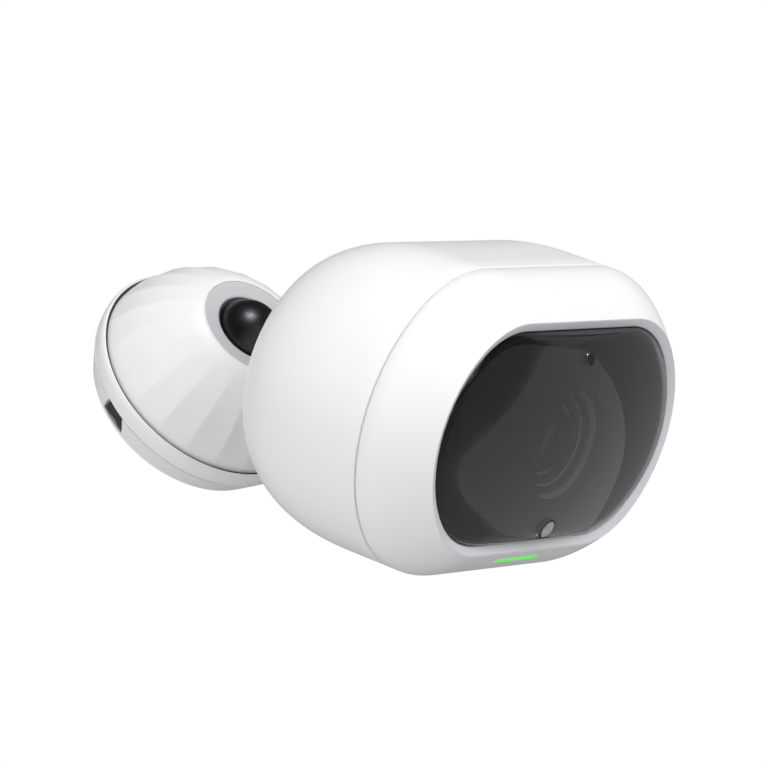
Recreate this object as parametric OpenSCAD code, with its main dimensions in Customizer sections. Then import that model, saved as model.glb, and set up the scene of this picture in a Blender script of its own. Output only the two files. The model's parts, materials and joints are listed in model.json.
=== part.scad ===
// Wall-mounted security camera: a fluted ball-joint base and a wide, pillow-shaped camera head.
// The row frame: the wall is the plane y = 0, the base points along -Y, and +Z is up.

/* [Head outline] */
// Width of the head across its seam
head_w = 95; // [84:1:112]
// Height of the head across its seam
head_h = 60.5; // [54:0.5:70]
// How much larger the side's radius is than half the height
side_bulge = 0.75; // [0.3:0.05:1.2]
// How much smaller the corner's radius is than half the height
corner_drop = 2.25; // [1:0.05:2.6]
// Thickness of the moulded shells
wall = 2.2; // [1.8:0.1:2.6]

/* [Head depth] */
// Distance from the window's edge back to the seam
seam_y = 12.2; // [11.5:0.1:14]
// Straight part of the rear shell behind the seam
straight_len = 9.1; // [8:0.1:12]
// Length of the rear shell's rounding
taper_len = 29; // [27:0.5:34]
// Height of the flat rear face
rear_face_h = 17.9; // [16:0.1:20]
// Drop of the rear shell's rear part below the head's centre line
rear_drop = 0.4; // [0:0.1:1]
// Exponent of the rear rounding
taper_power = 2.3; // [2:0.1:2.6]

/* [Window] */
// Inset of the bezel's front edge from the seam outline
rim_inset = 7.1; // [6.5:0.1:7.8]
// How far the bezel's front edge stands forward of the window's edge
rim_y = 0.7; // [0.4:0.1:1]
// Inset of the window from the seam outline
window_inset = 8.95; // [8.6:0.05:9.4]
// Height of the window's crown
crown_h = 6.2; // [5:0.1:7]
// Thickness of the window
window_t = 1.8; // [1.5:0.1:2.2]
// Gap around the window
window_gap = 0.08; // [0.05:0.01:0.15]
// Width of the status light
light_w = 14.4; // [12:0.2:20]
// Height of the status light
light_h = 1.5; // [1.2:0.1:2]

/* [Lens] */
// Height of the lens axis above the head's centre
lens_z = -1.2; // [-2:0.1:0]
// Radius of the lens well
well_r = 11.4; // [10.5:0.1:12]
// Outer radius of the lens barrel
barrel_r = 6; // [5.5:0.1:6.5]

/* [Ball joint] */
// Radius of the ball
ball_r = 7.1; // [7:0.05:7.3]
// Radial clearance between the ball and its seats
ball_fit = 0.05; // [0.02:0.01:0.09]
// Height of the ball's centre above the wall
ball_h = 24.2; // [24:0.1:25]
// Radius of the steel neck
neck_r = 2.2; // [1.8:0.1:2.3]
// Distance of the ball's centre behind the rear face
neck_len = 25.4; // [24:0.2:32]
// Drop of the neck below the head's centre line
neck_drop = 3.3; // [2:0.1:4]
// Radius of the threaded stud
stud_r = 3.15; // [3.1:0.01:3.2]
// Radial clearance between the stud and its insert
stud_fit = 0.05; // [0.03:0.01:0.09]

/* [Base] */
// Widest radius of the base
base_r = 24.95; // [24.6:0.05:27]
// Height of the seam between the wall plate and the base ring
plate_h = 6; // [5.5:0.1:6.4]
// Height of the base ring's rim
ring_h = 10.3; // [10.1:0.1:10.8]
// Width of the base ring's lip
lip_w = 0.65; // [0.6:0.05:1.4]
// Clearance between the fluted dome and the ring around it
dome_gap = 0.4; // [0.35:0.05:0.5]
// Number of flutes around the dome
flutes = 22; // [16:1:28]
// Depth of the flutes near the dome's foot
flute_d = 0.6; // [0.3:0.05:0.9]
// Turn of the first ridge between two flutes
flute_turn = 7.2; // [0:0.1:16]
// Radius of the flat collar at the dome's top
collar_r = 11.1; // [10.8:0.1:12]
// Gap between the ball and the collar's hole
hole_gap = 0.45; // [0.4:0.05:0.6]
// Pitch circle of the wall screws
screw_pcd = 31; // [29:0.5:33]
// Radius of the wall screw holes
screw_hole_r = 2.25; // [2:0.05:2.5]
// Number of wall screw holes
screw_count = 3; // [2:1:4]

/* [Pose] */
// Head turned sideways, degrees
yaw = 11.8; // [10:0.1:14]
// Head tipped down, degrees
pitch = 53.3; // [52:0.1:54]

/* [Controls] */
// Radius of the power button
button_r = 3.6; // [3:0.1:4]
// Travel of the power button
button_travel = 0.8; // [0.5:0.1:1]
// Width of the charging port's flap
flap_w = 16; // [14:0.5:17]
// Depth of the charging port's flap
flap_d = 9; // [8:0.5:9.5]
// Gap around the button and the flap
part_gap = 0.3; // [0.25:0.05:0.4]

/* [Hidden] */
$fn = 64;
tiny = 0.05;

// ---- Head outline ----
half_w = head_w / 2;
half_h = head_h / 2;
side_r = half_h + side_bulge;
corner_r = half_h - corner_drop;
side_x = half_w - side_r;
corner_z = half_h - corner_r;
corner_x = side_x + sqrt(pow(side_r - corner_r, 2) - pow(corner_z, 2));
corner_a = atan2(corner_z, corner_x - side_x);
side_steps = 4;
corner_steps = 5;

// One quarter of the outline, from the side's middle to the end of the flat top, shrunk by inset k.
function quarter(k) = concat(
    [for (i = [0 : side_steps - 1]) let (a = corner_a * i / side_steps)
        [side_x + (side_r - k) * cos(a), (side_r - k) * sin(a)]],
    [for (i = [0 : corner_steps]) let (a = corner_a + (90 - corner_a) * i / corner_steps)
        [corner_x + (corner_r - k) * cos(a), corner_z + (corner_r - k) * sin(a)]]);

// The whole outline, shrunk by inset k, counter-clockwise seen from the rear.
function outline(k) = let (q = quarter(k), n = len(q)) concat(
    q,
    [for (i = [n - 1 : -1 : 1]) [-q[i][0], q[i][1]]],
    [for (i = [0 : n - 1]) [-q[i][0], -q[i][1]]],
    [for (i = [n - 1 : -1 : 1]) [q[i][0], -q[i][1]]]);

function ring(s) = [for (p = outline(s[1])) [p[0], s[0], p[1] + (len(s) > 2 ? s[2] : 0)]];

function middle(r) = [for (c = [0 : 2]) let (v = [for (p = r) p[c]]) v * [for (i = v) 1] / len(r)];
function flip(list) = [for (i = [len(list) - 1 : -1 : 0]) list[i]];

// A skin over a chain of rings that run towards +Y on its outside. It is closed by a fan at both
// ends, or runs round on itself when looped.
module loft(rings, looped = false) {
    n = len(rings[0]);
    m = len(rings);
    sides = [for (j = [0 : looped ? m - 1 : m - 2], i = [0 : n - 1], t = [0, 1])
        let (a = j * n + i, b = j * n + (i + 1) % n, jj = (j + 1) % m,
            c = jj * n + (i + 1) % n, d = jj * n + i)
        t == 0 ? [a, b, c] : [a, c, d]];
    fans = looped ? [] : [for (i = [0 : n - 1], t = [0, 1])
        t == 0 ? [m * n, (i + 1) % n, i] : [m * n + 1, (m - 1) * n + i, (m - 1) * n + (i + 1) % n]];
    ends = looped ? [] : [middle(rings[0]), middle(rings[m - 1])];
    polyhedron(points = concat([for (r = rings) each r], ends), faces = concat(sides, fans));
}

// A flat plate or frame with the head's outline, from y0 to y1.
module slab(y0, y1, k, hole_k = -1) {
    translate([0, y1, 0]) rotate([90, 0, 0]) linear_extrude(y1 - y0) difference() {
        polygon(outline(k));
        if (hole_k > 0) polygon(outline(hole_k));
    }
}

// A round piece on an axis along Y through (x, z), from y0 to y1.
module rod(x, z, y0, y1, r) {
    translate([x, y1, z]) rotate([90, 0, 0]) cylinder(h = y1 - y0, r = r);
}

// A block centred on (x, z), from y0 to y1.
module block(x, z, y0, y1, w, h) {
    translate([x - w / 2, y0, z - h / 2]) cube([w, y1 - y0, h]);
}

// ---- Rear shell profile ----
taper_y = seam_y + straight_len;
rear_y = taper_y + taper_len;
taper_inset = half_h - rear_face_h / 2;
seam_gap = 0.2;
shell_front = seam_y + seam_gap / 2;
bezel_back = seam_y - seam_gap / 2;
function taper(t) = 1 - pow(1 - pow(t, taper_power), 1 / taper_power);
taper_steps = [0, 0.2, 0.36, 0.5, 0.62, 0.73, 0.82, 0.9, 0.96, 0.99, 1];
edge_soft = 0.3;

function rear_rings(inset, len_y) = [for (t = taper_steps)
    ring([taper_y + t * len_y, inset + taper_inset * taper(t), -rear_drop * t])];

// ---- Front bezel profile ----
lip_y = seam_y - 2.2;
front_len = lip_y + rim_y;
round_power = 1.6;
function bezel_k(y) = y > lip_y ? 0 : rim_inset * pow((lip_y - y) / front_len, round_power);
flange_y = 3;
flange_t = 2;
flange_k = window_inset + 2.5;
light_y = 1.55;
light_tip = 47.3;
light_depth = 1.4;

// ---- Window ----
win_w = half_w - window_inset;
win_h = half_h - window_inset;
crown_side = 0.79;
crown_top = 0.61;
edge_y = 0.3;
edge_power = 40;
win_k = window_inset + window_gap;
function crown(x, z) = -crown_h * (1 - crown_side * pow(x / win_w, 2) - crown_top * pow(z / win_h, 2));
function window_ring(s, back) = [for (p = outline(win_k + back * 0.2))
    let (x = p[0] * s, z = p[1] * s, c = crown(x, z)) [x, c + (edge_y - c) * pow(s, edge_power) + back, z]];
window_steps = [0.12, 0.3, 0.48, 0.64, 0.78, 0.9, 0.95, 0.98, 1];
function glass_y(z) = let (s = abs(z) / (half_h - win_k), c = crown(0, z)) c + (edge_y - c) * pow(s, edge_power);
mask_t = 0.5;
mask_gap = 0.06;
sensor_z = 3.4 - win_h;
sensor_r = 1.85;
mic_z = win_h - 4.9;
mic_hole_r = 0.8;

// ---- Lens stack ----
well_y = glass_y(lens_z - well_r) + window_t + mask_gap + mask_t + 0.6;
well_back = 3.5;
barrel_front = 0.6;
barrel_back = 15.6;
barrel_wall = 1;
holder_y = 12.3;
board_y = 16.2;
chassis_y = 10.6;
chassis_t = 1.6;
boss_x = half_w - 17.5;
boss_z = half_h - 13.65;
boss_r = 2.4;
screw_r = 1;
ir_x = 22;
ir_z = [-9, 6];
ir_r = 2.5;

// ---- Electronics and battery ----
pcb_t = 1.4;
main_y = 18.4;
cell_r = 9.15;
cell_len = 65;
cell_gap = 0.5;
cell_y = 33.2;
cell_z = cell_r + cell_gap / 2;
tray_t = 1.2;
tray_y = cell_y - cell_r - tray_t - 0.3;

// ---- Neck and insert ----
insert_r = 4.6;
insert_len = 6.6;
insert_boss_r = 6.8;
washer_t = 0.6;
washer_r = 6;
flange_gap = 0.05;
neck_y = rear_y + neck_len;
stud_len = 5.6;

// ---- Underside controls ----
button_x = 10;
button_y = 20.5;
flap_x = -8.5;
flap_y = 21;
flap_t = 1.4;
pin_r = 0.5;
knuckle_r = 1;
pin_y = flap_y + flap_d / 2 - knuckle_r;
pin_z = -half_h + knuckle_r + 0.15;
well_t = 5.6;
usb_w = 9.2;
usb_h = 3.4;
speaker_x = 16.5;

// ---- Base ----
pad_t = 0.8;
pad_r = base_r - 5;
ring_in_r = base_r - lip_w;
plate_r0 = base_r - 3.2;
plate_r1 = base_r - 0.5;
plate_back = 0.15;
plate_wall = 2;
plate_floor = 2.2;
ring_floor_t = 1;
ring_floor = ring_h - 2.1;
post_bore = ball_r + 1.1;
post_r = post_bore + 2.2;
seat_fit = 0.08;
post_floor = ring_floor + ring_floor_t;
post_top = ball_h - 2.2;
collet_r = ball_r + 2.4;
hole_r = ball_r + hole_gap;
lip_dh = 1.6;
collar_in_h = ball_h + 2.3;
collar_out_h = ball_h + 2.8;
collar_t = 0.6;
dome_r = ring_in_r - dome_gap;
dome_foot = post_floor + 0.4;
dome_wall = 1.8;
dome_top = collar_out_h;
dome_rim_r = collar_r + 0.35;
notch_a = 182.7;
notch_w = 6.6;
notch_side_r = 14;
tab_inset = 0.9;
tab_travel = 1.2;
tab_r0 = plate_r0 - 2.4;
tab_r1 = plate_r0 + 1 - tab_inset;
lug_count = 3;
lug_r0 = plate_r1 - 5.5;
lug_r1 = plate_r1 - 3.7;

// The base is drawn with its axis along +Z and laid over so that it points away from the wall.
module on_wall() { rotate([90, 0, 0]) children(); }

// The head is drawn about its window's centre and hung on the ball.
module on_ball() {
    translate([0, -ball_h, 0]) rotate([pitch, 0, yaw])
        translate([0, -(rear_y + neck_len), neck_drop]) children();
}

module around(count, r, start = 90) {
    for (i = [0 : count - 1]) rotate([0, 0, start + 360 * i / count]) translate([r, 0, 0]) children();
}

// ---- Base sub-parts ----
module notch_cut(gap, r0, r1, h0, h1) {
    rotate([0, 0, notch_a]) translate([r0, 0, plate_h - 4.5]) rotate([90, 0, 90])
        linear_extrude(r1 - r0) intersection() {
            translate([notch_side_r - notch_w / 2 + gap, 0]) circle(r = notch_side_r, $fn = 96);
            translate([-(notch_side_r - notch_w / 2 + gap), 0]) circle(r = notch_side_r, $fn = 96);
            translate([-notch_w, h0 - plate_h + 4.5]) square([2 * notch_w, h1 - h0]);
        }
}

module wall_pad() {
    color("dimgray") on_wall() difference() {
        cylinder(h = pad_t, r = pad_r, $fn = 96);
        around(screw_count, screw_pcd / 2) translate([0, 0, -1]) cylinder(h = 3, r = screw_hole_r + 1);
    }
}

module wall_plate() {
    color("gainsboro") on_wall() difference() {
        union() {
            rotate_extrude($fn = 96) polygon([[0, pad_t], [pad_r + 0.1, pad_t], [pad_r + 0.1, plate_back],
                [plate_r0 - 0.2, plate_back], [plate_r0, plate_back + 0.2],
                [plate_r1, plate_h - 0.2], [plate_r1 - 0.15, plate_h - 0.05],
                [plate_r1 - plate_wall, plate_h - 0.05], [plate_r0 - 0.5, pad_t + plate_floor],
                [0, pad_t + plate_floor]]);
            around(lug_count, lug_r0 - 1.2, 30)
                translate([0, -2.5, pad_t + plate_floor - tiny]) cube([1, 5, 3.4]);
        }
        around(screw_count, screw_pcd / 2) {
            translate([0, 0, pad_t - 1]) cylinder(h = plate_floor + 2, r = screw_hole_r);
            translate([0, 0, pad_t + plate_floor - 1]) cylinder(h = 2, r = screw_hole_r + 1.6);
        }
        notch_cut(0, plate_r0 - 8, base_r + 1, pad_t + plate_floor, plate_h + 1);
        notch_cut(0, tab_r0 - tab_travel - 0.4, base_r + 1, pad_t + 0.6, plate_h + 1);
    }
}

module release_tab() {
    color("dimgray") on_wall() difference() {
        notch_cut(0.15, tab_r0, tab_r1, pad_t + 0.8, plate_h - 0.35);
        rotate([0, 0, notch_a]) translate([tab_r1 + 4.1, 0, 0]) cylinder(h = plate_h + 2, r = 4.4);
    }
}

module tab_spring() {
    color("silver") on_wall() rotate([0, 0, notch_a]) translate([plate_r0 - 6.2, 0, plate_h - 1.5])
        rotate([0, 90, 0]) difference() {
            cylinder(h = 2.4, r = 1);
            translate([0, 0, -1]) cylinder(h = 5, r = 0.6);
        }
}

module base_ring() {
    color("white") on_wall() difference() {
        union() {
            rotate_extrude($fn = 96) polygon(concat(
                [[post_bore + 1, ring_floor], [plate_r1 - 3, ring_floor], [plate_r1 - 3, plate_h + 0.05],
                    [plate_r1 - 0.15, plate_h + 0.05], [plate_r1, plate_h + 0.2],
                    [base_r - 0.1, ring_h - 2.4]],
                [for (a = [0 : 15 : 90])
                    [ring_in_r + 0.1 + (base_r - ring_in_r - 0.1) * cos(a), ring_h - 1.3 + 1.3 * sin(a)]],
                [[ring_in_r, ring_h - 0.1], [ring_in_r, post_floor], [post_bore + 1, post_floor]]));
            around(lug_count, lug_r0, 90)
                translate([0, -2.5, ring_floor - 3]) cube([lug_r1 - lug_r0, 5, 3 + tiny]);
        }
        around(3, post_r + 3) translate([0, 0, ring_floor - 1]) cylinder(h = 4, r = screw_r + 0.1);
    }
}

module socket_post() {
    color("lightgray") on_wall() difference() {
        union() {
            translate([0, 0, post_floor]) cylinder(h = 1.8, r = post_r + 5);
            translate([0, 0, post_floor]) cylinder(h = post_top - post_floor, r = post_r);
        }
        translate([0, 0, post_floor + 1.8]) cylinder(h = post_top, r = post_bore);
        around(3, post_r + 3) translate([0, 0, post_floor - 1]) cylinder(h = 4, r = screw_r - 0.05);
    }
}

module post_screws() {
    color("silver") on_wall() around(3, post_r + 3) {
        translate([0, 0, ring_floor - 1.2]) cylinder(h = 1.2, r = 1.9);
        translate([0, 0, ring_floor - tiny]) cylinder(h = ring_floor_t + 1.8, r = screw_r - 0.1);
    }
}

// Three cupped spring washers under the seat.
module seat_spring() {
    color("silver") on_wall() for (i = [0 : 2])
        translate([0, 0, post_floor + 1.85 + i * 0.9]) rotate_extrude()
            polygon(i % 2 == 0 ? [[3, 0.35], [7.6, 0], [7.6, 0.4], [3, 0.75]]
                : [[3, 0], [7.6, 0.35], [7.6, 0.75], [3, 0.4]]);
}

module ball_seat() {
    seat_h = post_floor + 4.8;
    color("dimgray") on_wall() difference() {
        translate([0, 0, seat_h]) cylinder(h = post_top - 0.6 - seat_h, r = post_bore - seat_fit);
        translate([0, 0, ball_h]) sphere(r = ball_r + ball_fit, $fn = 96);
    }
}

module ball_collet() {
    color("slategray") on_wall() difference() {
        rotate_extrude() polygon([[3, post_top + 0.4], [collet_r, post_top + 0.4],
            [collet_r, collar_in_h - collar_t - 0.05], [hole_r - 0.05, collar_in_h - collar_t - 0.05],
            [hole_r - 0.05, collar_in_h - 0.05],
            [sqrt(pow(ball_r + ball_fit, 2) - pow(lip_dh, 2)), ball_h + lip_dh], [3, ball_h + lip_dh]]);
        translate([0, 0, ball_h]) sphere(r = ball_r + ball_fit, $fn = 96);
    }
}

// Radius over the dome's ridges at height fraction v, from 0 at its foot to 1 at the collar.
function dome_h(v) = dome_foot + (dome_top - dome_foot) * v;
function dome_rad(v) = dome_rim_r + (dome_r - dome_rim_r) * pow(1 - pow(v, 1.75), 1 / 1.3);
// A flute is hollow between two sharp ridges, and fades out at the foot and at the collar.
function fade(v) = (0.4 + 0.6 * (1 - v)) * min(1, 4.5 * v) * min(1, 5 * (1 - v));
flute_steps = 6;
dome_steps = [0, 0.08, 0.2, 0.34, 0.48, 0.62, 0.74, 0.84, 0.92, 0.97, 1];

module dome() {
    n = flutes * flute_steps;
    rings = [for (v = dome_steps) [for (i = [0 : n - 1]) let (a = flute_turn + 360 * i / n,
        r = dome_rad(v) - flute_d * fade(v) * sin(180 * (i % flute_steps) / flute_steps))
        [r * cos(a), r * sin(a), dome_h(v)]]];
    color("white") on_wall() difference() {
        loft(flip(rings));
        translate([0, 0, dome_foot - 1]) cylinder(h = post_top - dome_foot + 1.3, r = post_r + 0.3);
        translate([0, 0, post_top]) cylinder(h = 20, r = collet_r + 0.05);
        translate([0, 0, collar_in_h - collar_t - 0.05]) cylinder(h = 20, r = collar_r);
        rotate_extrude($fn = 96) polygon(concat(
            [[post_r + 2.2, dome_foot - 1], [dome_r - flute_d - dome_wall, dome_foot - 1]],
            [for (v = [0 : 0.125 : 0.75]) [dome_rad(v) - flute_d - dome_wall, dome_h(v)]],
            [[post_r + 2.2, dome_h(0.78)]]));
        translate([0, 0, dome_foot - 1]) cylinder(h = 3.2, r = post_r + 5.4);
    }
}

module collar_ring() {
    color("lightgray") on_wall() rotate_extrude($fn = 96) polygon([
        [hole_r, collar_in_h - collar_t], [collar_r - 0.05, collar_in_h - collar_t],
        [collar_r - 0.05, collar_out_h - 0.1], [collar_r - 0.2, collar_out_h],
        [hole_r + 0.3, collar_in_h + 0.05], [hole_r, collar_in_h - 0.15]]);
}

// ---- Neck ----
module ball_stud() {
    color("darkslategray") on_ball() difference() {
        union() {
            translate([0, neck_y, -neck_drop]) sphere(r = ball_r, $fn = 96);
            rod(0, -neck_drop, rear_y + 4, neck_y - ball_r + 1, neck_r);
            translate([0, rear_y + washer_t + 2.6, -neck_drop]) rotate([-90, 0, 0])
                cylinder(h = 4, r1 = washer_r - 0.6, r2 = neck_r);
            rod(0, -neck_drop, rear_y + washer_t + flange_gap, rear_y + washer_t + 2.7, washer_r);
            rod(0, -neck_drop, rear_y - stud_len, rear_y + washer_t + 1, stud_r);
        }
        // Two flats for a spanner.
        for (s = [-1, 1]) block(s * (washer_r + 4.9), -neck_drop, rear_y - 1 + washer_t + 1.05,
            rear_y + washer_t + 3.1, 10, 20);
    }
}

module stud_washer() {
    color("dimgray") on_ball() difference() {
        rod(0, -neck_drop, rear_y + 0.02, rear_y + washer_t, washer_r);
        rod(0, -neck_drop, rear_y - 1, rear_y + 2, stud_r + stud_fit + 0.05);
    }
}

module threaded_insert() {
    color("goldenrod") on_ball() difference() {
        rod(0, -neck_drop, rear_y - insert_len, rear_y, insert_r);
        rod(0, -neck_drop, rear_y - insert_len - 1, rear_y + 1, stud_r + stud_fit);
    }
}

// ---- Head shells ----
module rear_shell() {
    bottom = -half_h;
    color("white") on_ball() difference() {
        union() {
            loft(concat(flip(rear_rings(wall, taper_len - wall)),
                [ring([shell_front, wall]), ring([shell_front, edge_soft]),
                    ring([shell_front + edge_soft, 0])],
                rear_rings(0, taper_len)));
            rod(0, -neck_drop, rear_y - insert_len, rear_y - 1, insert_boss_r);
            // Port and button wells inside the underside.
            translate([flap_x - flap_w / 2 - 2, flap_y - flap_d / 2 - 2.2, bottom + 1.2])
                cube([flap_w + 4, flap_d + 4.4, well_t - 1.2]);
            translate([button_x, button_y, bottom + 1.2]) cylinder(h = 2.8, r = button_r + 1.6);
        }
        rod(0, -neck_drop, rear_y - insert_len - 1, rear_y + 1, insert_r);
        // Speaker holes.
        for (i = [0 : 6]) rod(speaker_x + (i == 0 ? 0 : 3 * cos(60 * i)),
            i == 0 ? 0 : 3 * sin(60 * i), rear_y - wall - 2, rear_y + 1, 0.75);
        // Button hole.
        translate([button_x, button_y, bottom - 1]) cylinder(h = 8, r = button_r + part_gap);
        // Flap recess, hinge channel and plug opening.
        translate([flap_x - flap_w / 2 - part_gap, flap_y - flap_d / 2 - part_gap, bottom - 1])
            cube([flap_w + 2 * part_gap, flap_d + 2 * part_gap, 1 + flap_t + part_gap]);
        translate([flap_x - flap_w / 2 - part_gap, pin_y, pin_z]) rotate([0, 90, 0])
            cylinder(h = flap_w + 2 * part_gap, r = knuckle_r + part_gap);
        translate([flap_x - flap_w / 2 - 1.6, pin_y, pin_z]) rotate([0, 90, 0])
            cylinder(h = flap_w + 3.2, r = pin_r);
        translate([flap_x - usb_w / 2, flap_y - usb_h / 2, bottom - 1]) cube([usb_w, usb_h, well_t + 3]);
    }
}
module front_bezel() {
    outer = [for (y = [lip_y, 8, 6, 4, 2.2, 0.8, -rim_y]) ring([y, bezel_k(y)])];
    inner = [ring([-rim_y, rim_inset + 0.05]), ring([flange_y, rim_inset + 0.05]),
        ring([flange_y, flange_k]), ring([flange_y + flange_t, flange_k]),
        ring([flange_y + flange_t, bezel_k(flange_y + flange_t) + wall]),
        ring([7.5, bezel_k(7.5) + wall]), ring([lip_y, wall]), ring([bezel_back, wall])];
    color("white") on_ball() difference() {
        union() {
            loft(flip(concat([ring([bezel_back, 0.45]), ring([bezel_back - 0.35, 0.1]),
                ring([bezel_back - 0.8, 0])], outer, inner)), looped = true);
            for (x = [-boss_x, boss_x], z = [-boss_z, boss_z])
                rod(x, z, flange_y + 1, chassis_y - tiny, boss_r);
        }
        for (x = [-boss_x, boss_x], z = [-boss_z, boss_z])
            rod(x, z, flange_y + flange_t + 0.5, chassis_y + 1, screw_r - 0.05);
        light_bar(0.05, light_depth + 0.05);
    }
}

// The status light sits square to the bezel's lower slope.
module light_bar(gap, depth) {
    translate([0, light_y, -half_h + bezel_k(light_y)]) rotate([light_tip - 90, 0, 0])
        translate([0, 0, -0.9]) linear_extrude(depth + 0.9) rounded_bar(light_w + 2 * gap, light_h + 2 * gap);
}
module rounded_bar(w, h) {
    square([w - h, h], center = true);
    for (s = [-1, 1]) translate([s * (w - h) / 2, 0]) circle(d = h, $fn = 32);
}
module status_light() {
    color("lime") on_ball() intersection() {
        light_bar(0, light_depth);
        loft([for (y = [-rim_y, 0.8, 2.2, 4, 6, 9]) ring([y, bezel_k(y) - 0.02])]);
    }
}

module seam_gasket() {
    color("darkgray") on_ball() union() {
        slab(bezel_back + 0.01, shell_front - 0.01, 1, wall + 1);
        slab(bezel_back - 1.8, shell_front + 1.8, wall + 0.05, wall + 1);
    }
}

module rim_trim() {
    color("silver") on_ball() loft([ring([-rim_y, rim_inset + 0.07]), ring([flange_y - 0.02, rim_inset + 0.07]),
        ring([flange_y - 0.02, window_inset]), ring([0, window_inset])], looped = true);
}

module window_gasket() {
    color("dimgray") on_ball() slab(edge_y + window_t + 0.02, flange_y - 0.02, window_inset + 0.2, flange_k - 0.2);
}

module window_cover() {
    color([0.1, 0.1, 0.11, 0.6]) on_ball() difference() {
        loft(concat([for (s = window_steps) window_ring(s, 0)],
            [for (s = flip(window_steps)) window_ring(s, window_t)]));
        rod(0, mic_z, -crown_h - 1, 5, mic_hole_r);
        rod(0, sensor_z, -crown_h - 1, 5, sensor_r + 0.05);
    }
}

module window_mask() {
    mask_steps = [0.12, 0.3, 0.48, 0.64, 0.78, 0.88, 0.95];
    y0 = window_t + mask_gap;
    color("black") on_ball() difference() {
        loft(concat([for (s = mask_steps) window_ring(s, y0)],
            [for (s = flip(mask_steps)) window_ring(s, y0 + mask_t)]), looped = true);
        rod(0, lens_z, -crown_h - 1, 5, well_r);
        rod(0, mic_z, -crown_h - 1, 5, mic_hole_r + 0.05);
        rod(0, sensor_z, -crown_h - 1, 5, sensor_r + 0.1);
    }
}

// ---- Optics ----
module lens_baffle() {
    color("black") on_ball() translate([0, 0, lens_z]) rotate([-90, 0, 0]) rotate_extrude()
        polygon([[well_r - 0.2, well_y], [well_r + 0.5, well_y], [well_r + 0.5, well_y + 1],
            [8.2, well_back - 0.6], [8.2, well_back], [barrel_r + 0.05, well_back],
            [barrel_r + 0.05, well_back - 0.8], [7.2, well_back - 1], [7.6, well_back - 2.4],
            [8.8, well_back - 2.6], [9.2, well_back - 3.8], [10.4, well_back - 4]]);
}

module lens_barrel() {
    color("black") on_ball() translate([0, 0, lens_z]) rotate([-90, 0, 0]) rotate_extrude()
        polygon([[barrel_r - 0.8, barrel_front], [barrel_r, barrel_front + 0.5], [barrel_r, barrel_back],
            [barrel_r - barrel_wall, barrel_back], [barrel_r - barrel_wall, barrel_front + 2]]);
}

module lens_element(y, t, r, bulge) {
    sphere_r = (r * r + bulge * bulge) / (2 * bulge);
    intersection() {
        translate([0, y - bulge + sphere_r, lens_z]) sphere(r = sphere_r, $fn = 96);
        rod(0, lens_z, y - bulge, y + t, r);
    }
}

module lens_front() {
    color([0.5, 0.6, 0.7, 0.5]) on_ball() lens_element(barrel_front + 2.6, 1.6, barrel_r - barrel_wall - 0.05, 1.2);
}

module lens_rear() {
    color([0.5, 0.6, 0.7, 0.5]) on_ball() lens_element(barrel_front + 9, 1.4, barrel_r - barrel_wall - 0.05, 0.9);
}

module lens_holder() {
    color("dimgray") on_ball() difference() {
        block(0, lens_z, holder_y, board_y - tiny, 17, 17);
        rod(0, lens_z, holder_y - 1, board_y + 1, barrel_r + 0.05);
    }
}

module sensor_board() {
    color("green") on_ball() block(0, lens_z, board_y, board_y + pcb_t, 20, 20);
}

module image_sensor() {
    color("darkslateblue") on_ball() block(0, lens_z, board_y - 0.4, board_y - 0.02, 6.4, 5.2);
}

module led_boards() {
    color("green") on_ball() for (s = [-1, 1])
        block(s * ir_x, (ir_z[0] + ir_z[1]) / 2, flange_y + 1.4, flange_y + 2.4, 9, ir_z[1] - ir_z[0] + 9);
}

module ir_leds() {
    color("gray") on_ball() for (x = [-ir_x, ir_x], z = ir_z) intersection() {
        rod(x, z, 0, flange_y + 1.38, ir_r);
        translate([x, ir_r + 0.2, z]) union() {
            sphere(r = ir_r + 0.2);
            rod(0, 0, 0, 5, ir_r + 0.1);
        }
    }
}

module light_sensor() {
    color("lightcyan") on_ball() translate([0, glass_y(sensor_z) - 0.3, sensor_z]) rotate([-90, 0, 0])
        cylinder(h = 3, r = sensor_r, $fn = 12);
}

module microphone() {
    color("silver") on_ball() rod(0, mic_z, 0.9, 2.9, 1.7);
}

module mic_boot() {
    color("dimgray") on_ball() difference() {
        rod(0, mic_z, 0.5, 2.95, 2.3);
        rod(0, mic_z, 0.88, 4, 1.72);
        rod(0, mic_z, -1, 4, mic_hole_r);
    }
}

// ---- Inside the head ----
module chassis() {
    color("gray") on_ball() difference() {
        slab(chassis_y, chassis_y + chassis_t, 6, -1);
        rod(0, lens_z, chassis_y - 1, chassis_y + 3, barrel_r + 0.2);
        for (x = [-boss_x, boss_x], z = [-boss_z, boss_z]) rod(x, z, chassis_y - 1, chassis_y + 3, screw_r + 0.15);
        for (s = [-1, 1]) block(s * 20, 0, chassis_y - 1, chassis_y + 3, 8, 14);
    }
}

module chassis_screws() {
    color("silver") on_ball() for (x = [-boss_x, boss_x], z = [-boss_z, boss_z]) {
        rod(x, z, chassis_y + chassis_t, chassis_y + chassis_t + 1.2, 1.9);
        rod(x, z, chassis_y - 4.6, chassis_y + chassis_t + tiny, screw_r - 0.1);
    }
}

module main_board() {
    color("green") on_ball() difference() {
        block(0, 0, main_y, main_y + pcb_t, 62, 38);
        for (x = [-28, 28], z = [-16, 16]) rod(x, z, main_y - 1, main_y + 3, 1.2);
    }
}

module board_chips() {
    chips = [[-16, 6, 12, 12], [6, 8, 9, 9], [20, -6, 8, 10], [-4, -10, 7, 5], [-22, -10, 6, 6]];
    color("black") on_ball() for (c = chips) block(c[0], c[1], main_y + pcb_t, main_y + pcb_t + 1, c[2], c[3]);
}

module wifi_antenna() {
    color("khaki") on_ball() translate([-15, seam_y + 3, half_h - wall - 1.2]) cube([30, 7, 0.4]);
}

module battery_cells() {
    color("royalblue") on_ball() for (s = [-1, 1])
        translate([-cell_len / 2, cell_y, s * cell_z]) rotate([0, 90, 0]) cylinder(h = cell_len, r = cell_r);
}

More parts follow.
